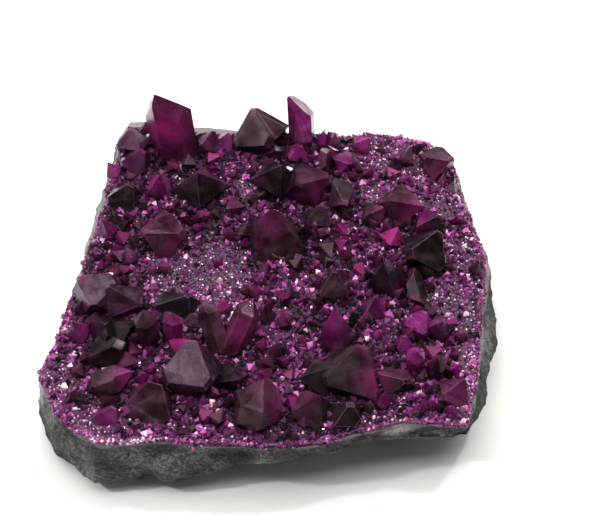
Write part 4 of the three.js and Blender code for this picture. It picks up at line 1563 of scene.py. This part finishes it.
    def fused(self) -> dict[Form, Growth]:
        """Places the small crystals that the crust's solid has, where its corners show that they stand.

        They are spread by a fixed step in each direction, wrapped at the side of a square. Radius, form, lean
        and turn are repeatable values of the crystal's number.

        Returns:
            The crystals of each form.
        """
        n = np.arange(1, SMALL_COUNT + 1)
        least, most = SMALL_RADIUS
        places = CENTRE + SMALL_SPREAD * (np.mod(n[:, None] * SMALL_STEPS, 1) - 0.5)
        radius = least + (most - least) * chance(n) ** 2
        middles = np.column_stack([places, bed_level(places) + self.middle_rise * radius])
        axes = direction(360 * chance(n + 0.25), 38 * chance(n + 0.75))
        away = np.linalg.norm(self.outline.corners[None, :, :2] - places[:, None], axis=2)
        above = self.outline.corners[None, :, 2] - middles[:, 2:]
        stands = ((away < radius[:, None]) & (above > 0.2 * radius[:, None])).any(axis=1)
        standing = chance(n + 0.5) < self.pyramid_share
        length = radius * np.where(standing, 1.35, self.tablet_length)
        crystals = Growth(middles, axes, 360 * chance(n + 0.1), radius, length, chance(n + 0.6))
        return {
            Form.PYRAMID: crystals.chosen(stands & standing),
            Form.TABLET: crystals.chosen(stands & ~standing),
        }

    def middle_sized(self, materials: dict[str, bpy.types.Material]) -> None:
        """Makes the crystals of one to four millimetres that crowd between the large ones.

        Args:
            materials: The crystals' finishes by slot.
        """
        rng = np.random.default_rng(DrawSeed.MIDDLE_SIZED)
        places = self.scattered(self.middle_step, rng, 0.97)
        places = places[rng.uniform(0, 1, len(places)) > 0.92 * sugar_share(places)]
        kinds = rng.choice(len(MIDDLE_KINDS), len(places), p=[kind.share for kind in MIDDLE_KINDS])
        fused = self.fused()
        for number, kind in enumerate(MIDDLE_KINDS):
            here = places[kinds == number]
            widths = rng.uniform(*kind.half_width, len(here))
            ratio = rng.uniform(*kind.ratio, len(here))
            # Painted shade near large crystals weakens the painted glow of these crystals
            tints = rng.uniform(0, 1, len(here)) ** 1.8 * (1 - 0.5 * self.dimness(here))
            growth = self.growth(here, widths, ratio, kind.lean, self.middle_rise, tints, rng)
            if kind.fused_share:
                low, high = kind.fused_share
                of_form = fused[kind.form]
                growth = growth.joined(of_form.chosen((of_form.tints >= low) & (of_form.tints < high)))
            points, triangles, point_tints, height = growth.arrays(kind.form, self.middle_uneven)
            name = f"middle_{kind.finish}_{kind.form.name.lower()}"
            piece = new_piece(name, points, triangles, materials[kind.finish])
            # Painted glow: tips and upper parts turn to the glow colour, in uneven zones, as if light comes
            # through
            zones = 1.1 + 0.7 * Noise(NoiseSeed.CRYSTAL_ZONES).at(points, 0.9)
            rise = smooth_step(-0.3, 0.95, height)
            add_values(piece, "glow", np.clip(1.3 * point_tints * zones * rise, 0, 1))
            # Painted shade: darker towards the base, and on some faces by their direction
            low_part = 1 - rise[triangles]
            shade = self.shade_most * (painted_facet_shades(points, triangles)[:, None] + low_part)
            add_values(piece, "shade", np.clip(shade, 0, 1), "CORNER")


# Scene around the specimen

@dataclass(frozen=True)
class Lamp:
    """A rectangular light that faces the specimen: its place and size in mm, power in watts, and colour."""

    name: str
    place: Place
    size: Range
    power: float
    colour: Colour = (1, 1, 1)

    def build(self) -> None:
        """Adds the light."""
        data = bpy.data.lights.new(self.name, "AREA")
        data.shape = "RECTANGLE"
        data.size, data.size_y = (side * MM for side in self.size)
        data.energy = self.power
        data.color = self.colour
        lamp = in_scene(self.name, data)
        lamp.location = np.array(self.place) * MM
        lamp.rotation_euler = (-lamp.location).to_track_quat("-Z", "Y").to_euler()


LAMPS = (
    Lamp("window_above", (-15, 110, 475), (760, 560), 3.8, (1.0, 0.98, 0.95)),
    Lamp("sparkle_left", (-260, -60, 320), (16, 16), 0.5),
    Lamp("sparkle_right", (180, 120, 420), (16, 16), 0.5),
    Lamp("sparkle_back", (-60, 330, 260), (16, 16), 0.4),
)


@dataclass(frozen=True)
class Studio:
    """A pale table, soft light from behind, and a camera that looks down at the specimen."""

    aim: Place = (5.194, 2.956, 12.0)
    distance: float = 236.0
    elevation: float = 50.0
    lens: float = 70.0
    sensor: float = 36.0
    room_back: float = 0.4
    room_front: float = 0.1
    table_half: float = 1500.0
    table_white: Colour = (0.9, 0.9, 0.88)

    def camera(self) -> None:
        """Puts the camera in front of the specimen and above it."""
        data = bpy.data.cameras.new("view")
        data.lens = self.lens
        data.sensor_width = self.sensor
        data.clip_end = 10
        camera = in_scene("view", data)
        tilt = math.radians(self.elevation)
        back = np.array([0, -math.cos(tilt), math.sin(tilt)])
        camera.location = (np.array(self.aim) + self.distance * back) * MM
        camera.rotation_euler = (math.pi / 2 - tilt, 0, 0)
        bpy.context.scene.camera = camera

    def table(self) -> None:
        """Adds the white table."""
        mesh = bpy.data.meshes.new("table")
        half = self.table_half * MM
        corners = [(-half, -half, 0), (half, -half, 0), (half, half, 0), (-half, half, 0)]
        mesh.from_pydata(corners, [], [(0, 1, 2, 3)])
        material, shader = new_material("white_table")
        shader.surface(self.table_white, 0.9)
        mesh.materials.append(material)
        table = in_scene("table", mesh)

    def room(self) -> None:
        """Sets the surroundings: bright behind the specimen, dark in front of it."""
        world = bpy.data.worlds.new("room")
        world.use_nodes = True
        shader = Shader(world.node_tree)
        way = shader.add("ShaderNodeTexCoord").outputs["Generated"]
        back = shader.add("ShaderNodeSeparateXYZ", {0: way}).outputs[1]
        ends = (self.room_front, self.room_back)
        strength = shader.spread(back, (-0.7, 0.7), ends, interpolation_type="SMOOTHSTEP")
        background = world.node_tree.nodes["Background"]
        background.inputs["Color"].default_value = (1, 1, 1, 1)
        world.node_tree.links.new(strength, background.inputs["Strength"])
        bpy.context.scene.world = world

    def build(self) -> None:
        """Sets up the camera, lights, table and surroundings."""
        self.camera()
        for lamp in LAMPS:
            lamp.build()
        self.table()
        self.room()
        bpy.context.scene.view_settings.view_transform = "Standard"


def main() -> None:
    """Builds the specimen's looks from the rock up, then the studio."""
    logging.basicConfig(level=logging.INFO, format="%(message)s")
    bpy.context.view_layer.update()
    Rock().build(RockFinish().material(speckle_group()))
    outline = Outline()
    bed = CrustBed(outline)
    bed.build(BedFinish().material())
    lines = growth_line_group()
    large = LargeCrystals({slot: finish.material(lines) for slot, finish in CRYSTAL_FINISHES.items()})
    large.build()
    fine = FineCrystals(bed, outline, large.solids)
    grain_material = GrainFinish().material()
    fine.grains(grain_material)
    fine.coarse_grains(grain_material)
    fine.edge_grains(grain_material)
    fine.middle_sized(large.materials)
    Studio().build()


if __name__ == "__main__":
    main()
